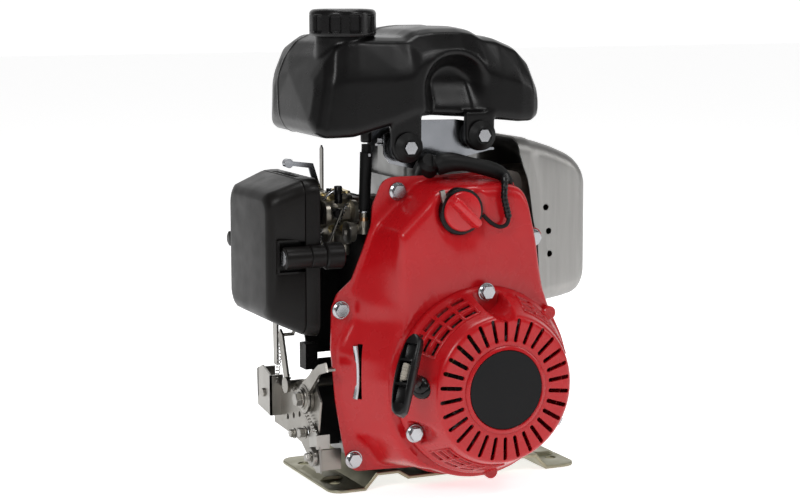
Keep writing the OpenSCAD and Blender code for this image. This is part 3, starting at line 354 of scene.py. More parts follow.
def material(name, colour, rough, metal=0.0, spread=0.05, grain=0.0, grain_scale=900.0, stretch=(1, 1, 1),
             vary=0.06, wear=0.0, coat=0.0, coat_rough=0.1, sheen=0.0, level=0.5):
    """A finish with colour variation, uneven roughness, fine grain and, where wear is set, paler edges."""
    look = bpy.data.materials.new(name)
    look.use_nodes = True
    tree = look.node_tree
    shader = set_inputs(tree.nodes["Principled BSDF"], Metallic=metal, Specular_IOR_Level=level,
                        Coat_Weight=coat, Coat_Roughness=coat_rough, Sheen_Weight=sheen)
    new, link = tree.nodes.new, tree.links.new
    where = new("ShaderNodeTexCoord")
    mapping = set_inputs(new("ShaderNodeMapping"), Scale=stretch)
    link(where.outputs["Object"], mapping.inputs["Vector"])

    def noise(scale, detail):
        node = set_inputs(new("ShaderNodeTexNoise"), Scale=scale, Detail=detail)
        link(mapping.outputs["Vector"], node.inputs["Vector"])
        return node.outputs["Fac"]

    def ranged(source, low, high):
        node = set_inputs(new("ShaderNodeMapRange"), From_Min=0.3, From_Max=0.7, To_Min=low, To_Max=high)
        link(source, node.inputs["Value"])
        return node.outputs["Result"]

    def mixed(amount, first, second):
        node = new("ShaderNodeMix")
        node.data_type = "RGBA"
        link(amount, node.inputs["Factor"])
        for value, socket in ((first, node.inputs["A"]), (second, node.inputs["B"])):
            if isinstance(value, tuple):
                socket.default_value = (*value, 1)
            else:
                link(value, socket)
        return node.outputs["Result"]

    clouds = noise(18, 3)
    dark, pale = (tuple(min(1, c * (1 + s * vary)) for c in colour) for s in (-1, 1))
    base = mixed(ranged(clouds, 0, 1), dark, pale)
    if wear:
        geometry = new("ShaderNodeNewGeometry")
        edges = set_inputs(new("ShaderNodeMapRange"), From_Min=0.53, From_Max=0.62, To_Max=wear)
        link(geometry.outputs["Pointiness"], edges.inputs["Value"])
        worn = tuple(min(1, 0.5 * c + 0.35) for c in colour)
        base = mixed(edges.outputs["Result"], base, worn)
    link(base, shader.inputs["Base Color"])
    link(ranged(noise(60, 4), rough - spread, rough + spread), shader.inputs["Roughness"])
    if grain:
        bump = set_inputs(new("ShaderNodeBump"), Strength=grain, Distance=0.0003)
        link(noise(grain_scale, 2), bump.inputs["Height"])
        link(bump.outputs["Normal"], shader.inputs["Normal"])
    return look


STEEL = dict(metal=1.0, spread=0.07, vary=0.10, grain=0.12, wear=0.3)
CAST = dict(metal=1.0, spread=0.08)
# Each finish, by its material slot: colour, roughness and what else differs
FINISHES = {
    "red_cover": ((0.37, 0.0045, 0.0075), 0.27, dict(
        spread=0.04, grain=0.03, grain_scale=420, vary=0.05, coat=0.12, coat_rough=0.14, level=0.3)),
    "red_knob": ((0.42, 0.008, 0.012), 0.28, dict(grain=0.03, coat=0.15, level=0.35)),
    "black_plastic": ((0.0052, 0.0045, 0.0042), 0.36, dict(
        grain=0.2, grain_scale=1500, vary=0.15, level=0.15)),
    "tank_plastic": ((0.0032, 0.0030, 0.0031), 0.30, dict(
        spread=0.04, grain=0.12, grain_scale=1100, vary=0.15, level=0.2)),
    "black_trim": ((0.0035, 0.0032, 0.0034), 0.28, dict(grain=0.1, vary=0.15, level=0.22)),
    "badge": ((0.0065, 0.0065, 0.007), 0.36, dict(spread=0.03, grain=0.05, level=0.12)),
    "cast_alloy": ((0.34, 0.34, 0.335), 0.48, dict(CAST, grain=0.5, grain_scale=700, vary=0.12)),
    "machined_alloy": ((0.62, 0.62, 0.62), 0.30, dict(metal=1.0, grain=0.1)),
    "guard_steel": ((0.30, 0.295, 0.285), 0.42, dict(
        metal=1.0, grain=0.35, grain_scale=260, stretch=(9, 9, 0.7))),
    "exhaust_steel": ((0.16, 0.13, 0.11), 0.50, dict(metal=1.0, spread=0.1, grain=0.2, vary=0.3)),
    "base_steel": ((0.30, 0.285, 0.20), 0.42, dict(STEEL, grain_scale=500, vary=0.16, spread=0.1)),
    "bracket_steel": ((0.27, 0.28, 0.30), 0.18, dict(STEEL, grain=0.04, spread=0.04)),
    "lever_steel": ((0.24, 0.228, 0.205), 0.34, STEEL),
    "carb_alloy": ((0.42, 0.39, 0.33), 0.42, dict(STEEL, grain=0.35)),
    "bolt_steel": ((0.38, 0.385, 0.40), 0.22, dict(metal=1.0, spread=0.06, grain=0.05)),
    "ground_steel": ((0.55, 0.56, 0.57), 0.24, dict(metal=1.0, grain=0.05)),
    "dark_steel": ((0.10, 0.10, 0.11), 0.42, dict(CAST, grain=0.15)),
    "flywheel_iron": ((0.20, 0.20, 0.21), 0.50, dict(CAST, grain=0.4)),
    "ring_iron": ((0.16, 0.16, 0.17), 0.34, dict(metal=1.0, grain=0.1)),
    "yellow_zinc": ((0.62, 0.50, 0.24), 0.32, STEEL),
    "rubber": ((0.0055, 0.0055, 0.0055), 0.50, dict(spread=0.08, grain=0.2, vary=0.2, level=0.15)),
    "phenolic": ((0.05, 0.028, 0.018), 0.5, dict(spread=0.06, grain=0.2)),
    "reel_nylon": ((0.03, 0.03, 0.03), 0.5, dict(grain=0.1)),
    "rope_fibre": ((0.32, 0.29, 0.24), 0.8, dict(
        spread=0.08, grain=0.9, grain_scale=1800, vary=0.2, sheen=0.3)),
    "filter_foam": ((0.45, 0.35, 0.18), 0.9, dict(grain=1.0, vary=0.2)),
    "coil_resin": ((0.02, 0.02, 0.022), 0.4, dict(grain=0.1)),
    "brass": ((0.60, 0.33, 0.14), 0.30, STEEL),
}


def dress_cad_nodes():
    """Soft edges and a finish on every CAD node that stays in view."""
    slots = {s["node"]: s["material_slot"] for s in frame["record"]["subparts"]}
    widths = {"crankcase": 1.6, "crankcase_cover": 1.4, "base_plate": 0.9, "cylinder_head": 0.7,
              "head_cover": 1.8, "shroud_bolts": 0.45, "carburetor": 0.8, "plug_cap": 1.0,
              "tank_rubbers": 0.8}
    for name, obj in nodes.items():
        if obj.hide_render:
            continue
        obj.data.materials.clear()
        obj.data.materials.append(looks[slots[name]])
        obj.data.polygons.foreach_set("use_smooth", [True] * len(obj.data.polygons))
        add_modifier(obj, "WELD", merge_threshold=1e-6)
        add_modifier(obj, "BEVEL", width=widths.get(name, 0.35) * MM, segments=2, limit_method="ANGLE",
                     angle_limit=math.radians(35))
        add_modifier(obj, "WEIGHTED_NORMAL", weight=90)


# ---- Fan cover ----

CRANK_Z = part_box("starter_badge")[0].z / MM * 0.5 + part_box("starter_badge")[1].z / MM * 0.5
COVER_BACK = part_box("fan_cover")[1].y / MM
COVER_FRONT = -105.0
SHEET = 2.0
SWITCH = (-20.0, 240.0)
# Directions round the crank in which the two covers are sampled
ROUND = np.linspace(0, 2 * math.pi, 480, endpoint=False)


def arc(cx, cy, radius, a0, a1, steps):
    return [(cx + radius * math.cos(math.radians(a0 + (a1 - a0) * i / steps)),
             cy + radius * math.sin(math.radians(a0 + (a1 - a0) * i / steps))) for i in range(steps + 1)]


def edge_outline():
    """The fan cover's outer edge, with a lug at each bolt."""
    return (arc(0, CRANK_Z, 91, -118, 30, 18) + [(76, 150), (70, 166), (66, 188), (61, 199)]
            + arc(69.5, 208, 9, -100, 60, 8) + [(60, 219), (54, 238)]
            + arc(36, 250, 16, 0, 80, 4) + [(18, 267), (-10, 266), (-40, 266)] + arc(-62, 252, 14, 90, 170, 5)
            + [(-81, 243), (-82, 227), (-90, 206), (-100, 182), (-113, 171), (-118, 160), (-119, 124),
               (-115, 81), (-109, 46), (-104, 24), (-97, 19), (-70, 18)])


def rise_outline():
    """Where the cover's sloping sides leave its flange."""
    return (arc(0, CRANK_Z, 89, -118, 30, 18) + [(73, 150), (67, 166), (63, 188), (57, 212), (51, 237)]
            + arc(35, 249, 13, 0, 80, 4) + [(18, 263), (-10, 263), (-34, 262)] + arc(-40, 250, 9, 90, 170, 4)
            + [(-66, 236), (-79, 224), (-87, 204), (-96, 182), (-99, 171), (-99, 148), (-113, 124),
               (-110, 81), (-102, 52), (-90, 42), (-78, 24), (-62, 20)])


def face_outline():
    """Where the sloping sides meet the cover's front face."""
    return (arc(0, CRANK_Z, 84, -118, 30, 18) + [(66, 152), (59, 170), (55, 190), (52, 212), (47, 232)]
            + arc(32, 245, 12, 0, 80, 4) + [(16, 260), (-10, 259), (-34, 258)] + arc(-42, 247, 9, 90, 170, 4)
            + [(-70, 240), (-74, 224), (-73, 204), (-72, 182), (-71, 170), (-70, 158), (-74, 140),
               (-84, 100), (-82, 70), (-74, 48), (-66, 36), (-52, 26)])


def reach(outline, soften):
    """How far an outline lies from the crank's axis in each direction, smoothed over some samples."""
    pts = np.array(outline) - (0, CRANK_Z)
    ends = np.roll(pts, -1, axis=0)
    out = []
    for a in ROUND:
        d = np.array((math.cos(a), math.sin(a)))
        across = pts[:, 0] * d[1] - pts[:, 1] * d[0]
        across_end = ends[:, 0] * d[1] - ends[:, 1] * d[0]
        crossing = np.where(across * across_end <= 0)[0]
        best = 0.0
        for i in crossing:
            t = across[i] / (across[i] - across_end[i]) if across[i] != across_end[i] else 0.0
            best = max(best, float((pts[i] + t * (ends[i] - pts[i])) @ d))
        out.append(best)
    out = np.array(out)
    window = np.hanning(2 * soften + 3)[1:-1]
    padded = np.concatenate([out[-soften:], out, out[:soften]])
    return np.convolve(padded, window / window.sum(), "valid")


def eased(t):
    """A soft step from 0 to 1."""
    t = np.clip(t, 0, 1)
    return t * t * (3 - 2 * t)


def rounded_path(corners, sizes, straight, curve):
    """A path through corners of shape (n, points, 2) that rounds each inner corner by its size."""
    rows, last = [], corners[0]
    for i in range(1, len(corners) - 1):
        before, corner, after = corners[i - 1], corners[i], corners[i + 1]
        to_before, to_after = before - corner, after - corner
        len_before = np.linalg.norm(to_before, axis=1, keepdims=True)
        len_after = np.linalg.norm(to_after, axis=1, keepdims=True)
        size = np.minimum(sizes[i - 1], np.minimum(len_before, len_after) * 0.48)
        start = corner + to_before / len_before * size
        end = corner + to_after / len_after * size
        rows += [last + (start - last) * (k / straight) for k in range(straight)]
        rows += [(1 - t) ** 2 * start + 2 * t * (1 - t) * corner + t * t * end
                 for t in (k / curve for k in range(curve))]
        last = end
    rows += [last + (corners[-1] - last) * (k / straight) for k in range(straight + 1)]
    return rows


def push(x, z, y, centre, radius, depth, inner=0.0):
    """Presses a round dent of some depth (towards +Y) into a surface."""
    distance = np.hypot(x - centre[0], z - centre[1])
    return y + depth * (1 - eased((distance - inner) / (radius - inner)))


def make_fan_cover():
    edge = reach(edge_outline(), 1)
    rise = np.minimum(reach(rise_outline(), 5), edge - 1.2)
    face = np.minimum(reach(face_outline(), 5), rise - 4)
    ones = np.ones(len(ROUND))
    hole, front, back = 68.0 * ones, COVER_FRONT * ones, (COVER_BACK - SHEET) * ones
    corners = [np.stack(pair, axis=1) for pair in ((hole, front), (face, front), (rise, back), (edge, back))]
    step_r = 83.5
    rings = []
    for row in rounded_path(corners, (9.0, 5.0), 9, 8):
        r, y = row[:, 0], row[:, 1].copy()
        x, z = r * np.cos(ROUND), CRANK_Z + r * np.sin(ROUND)
        depth_share = np.clip((back - y) / (back - front), 0, 1)
        y = y + 1.4 * (1 - eased((r - step_r + 1.2) / 2.4)) * depth_share
        y = push(x, z, y, (-30, 240), 16, 4.0 * depth_share)
        y = push(x, z, y, SWITCH, 25, 2.6 * depth_share, 20)
        y = push(x, z, y, (-84, 150), 16, 4.0 * depth_share)
        y = y - 1.8 * depth_share * eased((z - 120) / 60) * eased(1 - np.abs(x + 10) / 70)
        y = np.minimum(y, back)
        rings.append(np.stack([x, y, z], axis=1))
    obj = mesh_object("fan_cover_shell", *loft(rings, caps=False))
    turn_towards(obj, FRONT)
    modified(obj, "SOLIDIFY", thickness=SHEET * MM, offset=-1, use_even_offset=False)
    switch_hole = rod(17.0, COVER_FRONT - 8, COVER_FRONT + 16, (SWITCH[0], 0, SWITCH[1]), BACK)
    boot_hole = rod(7.2, 236, 290, (35.5, -85, 0), UP, 32)
    lead_hole = rod(3.6, 236, 262, (28, -91, 0), UP, 24)
    slot = loft([[(-130 + 40 * s, -112 + 44 * s + 3.6 * v, z) for s, v in ((0, 1), (1, 1), (1, -1), (0, -1))]
                 for z in (84, 90, 100, 110, 120, 130)])
    cut_away(obj, switch_hole, boot_hole, lead_hole, slot)
    place(sharpen(obj, 38), "engine", "red_cover", "fan_cover")


# ---- Starter ----

STARTER_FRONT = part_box("starter_badge")[1].y / MM
BOLT_CIRCLE = 75.6
STARTER_BOLTS = [(BOLT_CIRCLE * math.cos(math.radians(a)), BOLT_CIRCLE * math.sin(math.radians(a)))
                 for a in (90, 210, 330)]
POCKET_FLOOR = -111.5
POCKET_HALF = 12.5
SLOT_SECTORS = (27, 112, 232)
SLOT_STEP = 12


def make_starter_cover():
    ones = np.ones(len(ROUND))
    back, front = COVER_FRONT, STARTER_FRONT
    corners = [np.stack(pair, axis=1) for pair in (
        (33.0 * ones, front * ones), (60.5 * ones, front * ones), (76.0 * ones, (back - 7.5) * ones),
        (79.4 * ones, (back - 3.0) * ones), (79.4 * ones, (back + 0.4) * ones))]
    rings = []
    for row in rounded_path(corners, (4.5, 3.0, 2.5), 11, 8):
        r, y = row[:, 0], row[:, 1].copy()
        x, z = r * np.cos(ROUND), r * np.sin(ROUND)
        share = np.clip((y - front) / (back - front), 0, 1)
        for (bx, bz), inner in zip(STARTER_BOLTS, (70, 79, 79)):
            along = (x * bx + z * bz) / BOLT_CIRCLE
            side = np.abs(x * bz - z * bx) / BOLT_CIRCLE
            beyond = np.hypot(side, np.minimum(along - inner, 0))
            pocket = 1 - eased((beyond - POCKET_HALF + 1.2) / 2.4)
            y = y + np.maximum(POCKET_FLOOR - y, 0) * pocket * (share < 0.999)
        y = y - 0.44 * eased(1 - np.abs(r - 39.0) / 1.6)
        rings.append(np.stack([x, y, CRANK_Z + z], axis=1))
    obj = mesh_object("starter_cover_shell", *loft(rings, caps=False))
    turn_towards(obj, FRONT)
    modified(obj, "SOLIDIFY", thickness=SHEET * MM, offset=-1, use_even_offset=False)
    face_slots = [radial_slot(SLOT_STEP * i + 6) for i in range(30)]
    cone_slots = [arc_slot(start + SLOT_STEP * i, row)
                  for start in SLOT_SECTORS for i in range(4) for row in range(3)]
    cut_away(obj, joined(*face_slots), joined(*cone_slots))
    place(sharpen(obj, 38), "engine", "red_cover", "starter_cover")


def radial_slot(degrees):
    """A cutter for one round-ended slot in the starter's face."""
    outline = [(49.5 + x, y) for x, y in rounded_rectangle(-9.8, 9.8, -1.75, 1.75, 1.74, 5)]
    turn = Matrix.Translation((0, 0, CRANK_Z)) @ Matrix.Rotation(math.radians(-degrees), 4, "Y")
    ends = (STARTER_FRONT - 3, STARTER_FRONT + 5)
    return moved(loft([[(x, y, z) for x, z in outline] for y in ends]), turn)


def arc_slot(degrees, row):
    """A cutter for one short slot in the starter's cone."""
    y, half = -115 - 9 * row, 6.1 - 0.3 * row
    turn = Matrix.Translation((0, y, CRANK_Z)) @ Matrix.Rotation(math.radians(-degrees), 4, "Y")
    return moved(block((58, -2.3, -half), (88, 2.3, half)), turn)


def on_cone(y, degrees):
    """A point on the starter's cone."""
    slope = (75.5 - 61.5) / ((COVER_FRONT - 7.5) - STARTER_FRONT)
    radius = 61.2 + (y - STARTER_FRONT) * slope
    a = math.radians(degrees)
    return radius * math.cos(a), y, CRANK_Z + radius * math.sin(a)


def make_starter_ribs():
    """Raised ribs round the slots in the starter's cone."""
    shapes = []
    for start in SLOT_SECTORS:
        first = start - SLOT_STEP / 2
        for y in (-110.6, -119.5, -128.5, -137.5):
            shapes.append(tube([on_cone(y, first + 2 * k) for k in range(25)], 0.9, 8))
        for k in range(5):
            route = [on_cone(y, first + SLOT_STEP * k) for y in (-110.6, -119, -128, -137.5)]
            shapes.append(tube(route, 0.9, 8))
    place(mesh_object("starter_ribs", *joined(*shapes)), "engine", "red_cover")


def make_starter_details():
    """The two lugs on the rim and the badge's seat."""
    lugs = []
    for degrees, radius in ((40, 81.5), (276, 80)):
        a = math.radians(degrees)
        at = (radius * math.cos(a), COVER_FRONT - 3.9, CRANK_Z + radius * math.sin(a))
        lugs.append(turned([(5.0, 0), (5.8, 0.8), (5.8, 5.0)], at, BACK, 32))
    put("starter_lugs", joined(*lugs), "red_cover", crease=35)
    ring = turned([(36.5, 0), (36.5, 1.2), (35.2, 2.2), (33.6, 2.4), (33.0, 1.6), (33.0, 0)],
                  (0, STARTER_FRONT + 0.6, CRANK_Z), FRONT, 96)
    put("badge_seat", ring, "red_cover", crease=35)


# ---- Pull handle and rope ----

GUIDE = Vector((-65, -130, 101))
GRIP = Vector((-90, -150, 118))
CLIMB, SWING = math.radians(28), math.radians(38.6)
PULL = Vector((-math.cos(CLIMB) * math.cos(SWING), -math.cos(CLIMB) * math.sin(SWING), math.sin(CLIMB)))


def grip_axes():
    """The grip's own axes: out along the pull, up along the grip, and across."""
    out = PULL.normalized()
    up = (Vector(UP) - out * out.z).normalized()
    return out, up, out.cross(up)


def make_handle():
    out, up, across = grip_axes()
    base = Matrix((across, up, out)).transposed().to_4x4()
    base.translation = GRIP
    rings = []
    for k in range(25):
        t = -1 + 2 * k / 24
        round_end = math.sqrt(max(0.02, 1 - max(0, abs(t) - 0.86) ** 2 / 0.0225))
        half = 8.4 * (1 - 0.28 * t * t) * min(1.0, round_end)
        bend = -4.0 * t * t
        thick = 6.4 * (1 - 0.15 * t * t)
        ring = rounded_rectangle(-half, half, -thick, thick, min(4.2, half * 0.8, thick * 0.8), 5)
        rings.append([(x, 33.5 * t, y + bend) for x, y in ring])
    grip = solid("handle_grip", moved(loft(rings), base))
    cells = [moved(block((-5.2, start, -1.5), (5.2, end, 12)), base)
             for start, end in ((-25, -10.5), (-8.5, 9.5), (11.5, 25))]
    cut_away(grip, joined(*cells))
    place(bevelled(grip, 0.7), "handle", "black_trim", "starter_handle")
    stem = turned([(5.8, -19), (5.0, -15), (5.2, -9), (7.6, -4.5), (7.8, -1)], (0, 0, 0), UP, 40)
    put("handle_stem", moved(stem, base), "black_trim", body="handle", crease=35)
    strands = []
    for k in range(4):
        coil = coil_route((0, -5.5 + 3.2 * k, 1.5 + 0.8 * (k % 2)), (0, -2.5 + 3.2 * k, 2.5), 2.2, 2)
        strands.append(moved(tube(coil, 1.25, 8), base))
    place(mesh_object("rope_knot", *joined(*strands)), "handle", "rope_fibre")


def make_rope():
    """The rope between the guide and the handle, and its turns on the reel."""
    out = PULL.normalized()
    start, end = GUIDE - 10 * out, GRIP - 8 * out
    route = [start + (end - start) * k / 40 for k in range(41)]
    obj = mesh_object("pull_rope", *tube(route, 1.7, 12))
    obj.data.materials.append(looks["rope_fibre"])
    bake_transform(obj)
    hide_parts("starter_rope")
    turns = []
    reel_low, reel_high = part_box("starter_reel")
    middle = 0.5 * (reel_low.y + reel_high.y) / MM
    for k in range(3):
        ring = [(29.4 * math.cos(a), middle - 3.2 + 3.2 * k, CRANK_Z + 29.4 * math.sin(a))
                for a in (2 * math.pi * j / 48 for j in range(49))]
        turns.append(tube(ring, 1.6, 8))
    place(mesh_object("rope_winding", *joined(*turns)), "reel", "rope_fibre")


# ---- Stop switch ----

def make_knob():
    """A round knob with a raised bar across it."""
    disc = turned([(0, 0), (13.8, 0), (15.6, 0.5), (16.5, 1.9), (16.5, 12.4), (14.0, 12.4)],
                  (SWITCH[0], -111.4, SWITCH[1]), BACK, 72)
    put("switch_disc", disc, "red_knob", "switch_knob", body="switch", crease=35)
    rings = []
    for y, half_l, half_w in ((-110.5, 17.2, 4.6), (-113, 17.0, 4.4), (-118.4, 16.2, 3.7),
                              (-120.2, 15.4, 3.1), (-120.8, 14.2, 2.2)):
        ring = rounded_rectangle(-half_l, half_l, -half_w, half_w, min(half_w * 0.9, 3.0), 5)
        rings.append([(x, y, z) for x, z in ring])
    turn = Matrix.Translation((SWITCH[0], 0, SWITCH[1])) @ Matrix.Rotation(math.radians(45), 4, "Y")
    put("switch_bar", moved(loft(rings), turn), "red_knob", body="switch", crease=45)


# ---- Fuel tank and cap ----

CAP = (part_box("filler_cap")[0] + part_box("filler_cap")[1]) / 2 / MM
# Cross-sections from left to right: x, y from front to back, z of the bottom and the top, z where the
# front starts to lean back, and by how much
TANK_SECTIONS = [
    (-120, -42, 54, 312, 350, 336, 5), (-117, -55, 65, 303, 365, 343, 7), (-111, -61, 71, 299, 377, 347, 8),
    (-102, -63, 74, 299, 382, 349, 9), (-90, -64.5, 75, 299.5, 383, 350, 9),
    (-58, -65, 75, 309, 382, 350, 10), (-44, -65, 75, 314.5, 382, 352, 11), (-35, -64, 75, 315, 387, 362, 12),
    (-20, -63, 75, 315, 389, 366, 12), (6, -63, 75, 313, 389, 366, 12), (18, -63, 75, 312, 387, 362, 12),
    (27, -63, 75, 311, 382, 354, 11), (40, -64, 74, 310, 380, 350, 11), (58, -64, 72, 308, 373, 345, 12),
    (70, -62, 69, 308, 362, 339, 12), (78, -56, 62, 311, 344, 329, 7),
]
ARCH_X, ARCH_Z, ARCH_HALF = -3, 338, 27
# The three mounting lugs: x, z, the front (-1) or the back (1) of the tank, and the top of the lug's web
TANK_LUGS = ((-49, 290, -1, 318), (19, 298, -1, 318), (-15, 296, 1, 320))
LUG_R = 13.5
QUARTER = (0, math.pi / 6, math.pi / 3, math.pi / 2)
CAP_ROUND = np.linspace(0, 2 * math.pi, 360, endpoint=False)


def tank_ring(x, y0, y1, z0, z1, zc, slope):
    """One cross-section of the tank: its front slopes back above zc, and its left end leans outwards."""
    zc = min(zc, z1 - 5)
    height = z1 - z0
    ring = [(y1 - 6 + 6 * math.sin(a), z0 + 6 - 6 * math.cos(a)) for a in QUARTER]
    ring += [(y1 - back, z1 - drop * height) for back, drop in ((0, 0.42), (4, 0.27), (15, 0.1), (34, 0.01))]
    ring += [(y0 + slope + 26, z1), (y0 + slope + 10, z1 - 1.5), (y0 + slope, z1 - 5),
             (y0 + 0.2 * slope, zc + 4), (y0, zc - 3)]
    ring += [(y0 + 6 - 6 * math.cos(a), z0 + 6 - 6 * math.sin(a)) for a in QUARTER]
    lean = float(np.clip((-60 - x) / 55, 0, 1))
    return [(x - lean * (3 + 0.17 * (342 - z) * float(np.clip((70 - y) / 70, 0.2, 1))), y, z)
            for y, z in ring]


def per_vertex(mesh, name):
    """A vertex property, such as co or normal, as an array with a row for each vertex."""
    values = np.zeros(len(mesh.vertices) * 3, np.float32)
    mesh.vertices.foreach_get(name, values)
    return values.reshape(-1, 3)


def press_arch(obj):
    """Presses the arch-shaped hollow into the front of the tank; it is deepest under the crown."""
    mesh = obj.data
    co = per_vertex(mesh, "co")
    x, y, z = (co / MM).T
    inside = ARCH_HALF - np.hypot(x - ARCH_X, np.maximum(z - ARCH_Z, 0))
    depth = 8 + 11 * eased((z - 316) / 32)
    front = 1 - eased((y + 58) / 40)
    co[:, 1] += MM * depth * eased((inside + 5) / 16) * front
    mesh.vertices.foreach_set("co", co.ravel())
    mesh.update()


def seam_bead(obj):
    """Raises the moulding's parting line where its two halves meet."""
    mesh = obj.data
    co, no = per_vertex(mesh, "co"), per_vertex(mesh, "normal")
    height = np.clip((co[:, 2] / MM - 300) / 80, 0, 1)
    seam_y = 27 + 17 * np.sin(math.pi * height)
    close = np.exp(-((co[:, 1] / MM - seam_y) / 1.1) ** 2)
    lift = 0.55 * MM * close * (np.abs(no[:, 1]) < 0.75)
    mesh.vertices.foreach_set("co", (co + no * lift[:, None]).ravel())
    mesh.update()


def join_meshes(first, second):
    """Moves the second object's mesh into the first one."""
    work = bmesh.new()
    work.from_mesh(first.data)
    work.from_mesh(second.data)
    work.to_mesh(first.data)
    work.free()
    bpy.data.objects.remove(second)


def across_lug(x, z, side, near, far, radius, sides):
    """A cylinder square to the front of the tank, between two distances from its middle."""
    y0, y1 = sorted((side * near, side * far))
    return rod(radius, y0, y1, (x, 0, z), BACK, sides)


def make_tank():
    body = solid("tank_shell", loft([tank_ring(*s) for s in TANK_SECTIONS]))
    modified(body, "REMESH", mode="VOXEL", voxel_size=2.0 * MM)
    press_arch(body)
    lugs = [across_lug(x, z, side, 56.4, 63.6, LUG_R, 40) for x, z, side, top in TANK_LUGS]
    webs = []
    for x, z, side, top in TANK_LUGS:
        y0, y1 = sorted((side * 56.4, side * 63.6))
        webs.append(block((x - LUG_R, y0, z), (x + LUG_R, y1, top)))
    neck = turned([(23.6, 362), (23.6, 376), (23.4, 379), (23.4, 383.6)], (CAP.x, CAP.y, 0), UP, 48)
    spout = rod(5, 292.5, 310, (-72, -30, 0), UP, 32)
    join_meshes(body, solid("tank_extra", joined(*lugs, *webs, neck, spout)))
    modified(body, "REMESH", mode="VOXEL", voxel_size=1.25 * MM)
    modified(body, "SMOOTH", factor=0.5, iterations=7)
    seam_bead(body)
    cut_away(body, *[across_lug(x, z, side, 50, 70, 10.05, 48) for x, z, side, top in TANK_LUGS],
             rod(19.5, 372, 392, (CAP.x, CAP.y, 0), UP, 48))
    place(sharpen(body, 50), "engine", "tank_plastic", "fuel_tank")


def cap_ring(radius, z):
    """One circle of the cap; its radius may change from point to point."""
    radius = radius * np.ones(len(CAP_ROUND))
    return [(CAP.x + r * math.cos(a), CAP.y + r * math.sin(a), z) for r, a in zip(radius, CAP_ROUND)]


def make_cap():
    """The filler cap: a row of hollows round it for the fingers, a sunk top and an open underside."""
    low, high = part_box("filler_cap")
    top, bottom, grips = high.z / MM, low.z / MM, 10
    ceiling = 386.3
    rings = [cap_ring(0.05, ceiling), cap_ring(24.3, ceiling), cap_ring(24.3, bottom)]
    shares = np.concatenate([np.linspace(0, 0.1, 4), np.linspace(0.14, 0.82, 22), np.linspace(0.85, 1, 9)])
    for share in shares:
        shoulder = max(0.0, (share - 0.80) / 0.20)
        radius = 27.9 - 4.2 * (1 - math.sqrt(max(0.0, 1 - shoulder ** 2)))
        radius -= 1.2 * max(0, (0.08 - share) / 0.08)
        phase = (CAP_ROUND * grips / (2 * math.pi)) % 1.0
        tall = float(eased((share - 0.13) / 0.05)) * float(eased((0.80 - share) / 0.05))
        window = eased((0.30 - np.abs(phase - 0.5)) / 0.05) * tall
        rings.append(cap_ring(radius - 2.1 * window, bottom + share * (top - bottom)))
    for radius, dz in ((22.4, 0.0), (21.5, -0.9), (14, -1.2), (12.5, -0.2), (3, -0.1), (0.05, 0.0)):
        rings.append(cap_ring(radius, top + dz))
    put("cap_shell", loft(rings), "black_plastic", "filler_cap", body="cap", look="black_trim")


# ---- Air cleaner ----



PIPE = (0, 9, 231)


def cleaner_skin(*sections):
    """A skin over round-cornered sections of (x, y from, y to, z from, z to, corner radius)."""
    return loft([[(x, y, z) for y, z in rounded_rectangle(*sides, 8)] for x, *sides in sections])


def pipe_hole():
    """A cutter for the bore through the case and its collar."""
    return rod(9, -130, -100, PIPE, RIGHT, 48)


def make_cleaner_cover():
    """The outer half, with the pocket for its front boss."""
    cover = solid("air_cover_shell", cleaner_skin(
        (-168.9, -44, 39, 157, 247, 10), (-168.6, -46, 41, 154.5, 249.5, 11),
        (-167.2, -49, 44, 151.5, 252.5, 12), (-165, -51.5, 46.5, 149, 255, 12),
        (-158, -53.5, 48.5, 145.2, 257.6, 12), (-148, -55.5, 50.5, 140.6, 261.4, 12),
        (-140, -57, 52, 136.8, 264.4, 12), (-138.4, -57, 52, 136.2, 264.9, 12),
        (-138.2, -56.2, 51.2, 137, 264, 11.5)))
    inside = cleaner_skin((-166.4, -46, 42, 155, 249, 9), (-160, -51, 46, 148.5, 254.6, 10),
                          (-130, -54.6, 49.6, 138.6, 262.4, 10))
    cut_away(cover, inside, block((-160.5, -64, 190.5), (-136, -49.5, 215.5)))
    place(bevelled(cover, 0.8, 40), "engine", "black_plastic", "air_cleaner_cover")
    liner = [block((-162, -50.5, 188.5), (-135, -49, 217.5)), block((-162, -56.2, 215.5), (-135, -49, 217.2)),
             block((-162, -56.2, 188.8), (-135, -49, 190.5)), block((-162.4, -56, 189), (-160.5, -49, 217))]
    place(mesh_object("pocket_liner", *joined(*liner), smooth=False), "engine", "black_plastic")


def make_cleaner_case():
    """The inner half, with a row of inlet slots in its top."""
    case = solid("air_case_shell", cleaner_skin(
        (-138.0, -56.2, 51.2, 137, 264, 11.5), (-137.6, -57.2, 52.2, 135.8, 265.3, 12.4),
        (-131, -57.2, 52.2, 134.2, 266, 12.4), (-125.6, -57.2, 52.2, 133.5, 266, 12.4),
        (-124.2, -55.4, 50.4, 135.6, 262.5, 12), (-124.0, -53, 48, 139, 257, 12)))
    inside = cleaner_skin(*[(x, -54.6, 49.6, 138.4, 262.6, 10) for x in (-140, -127)])
    vents = [block((-137, -27 + 9 * k, 259), (-131, -21.5 + 9 * k, 270)) for k in range(6)]
    cut_away(case, inside, pipe_hole(), *vents)
    place(bevelled(case, 0.6, 40), "engine", "black_plastic", "air_cleaner_case")


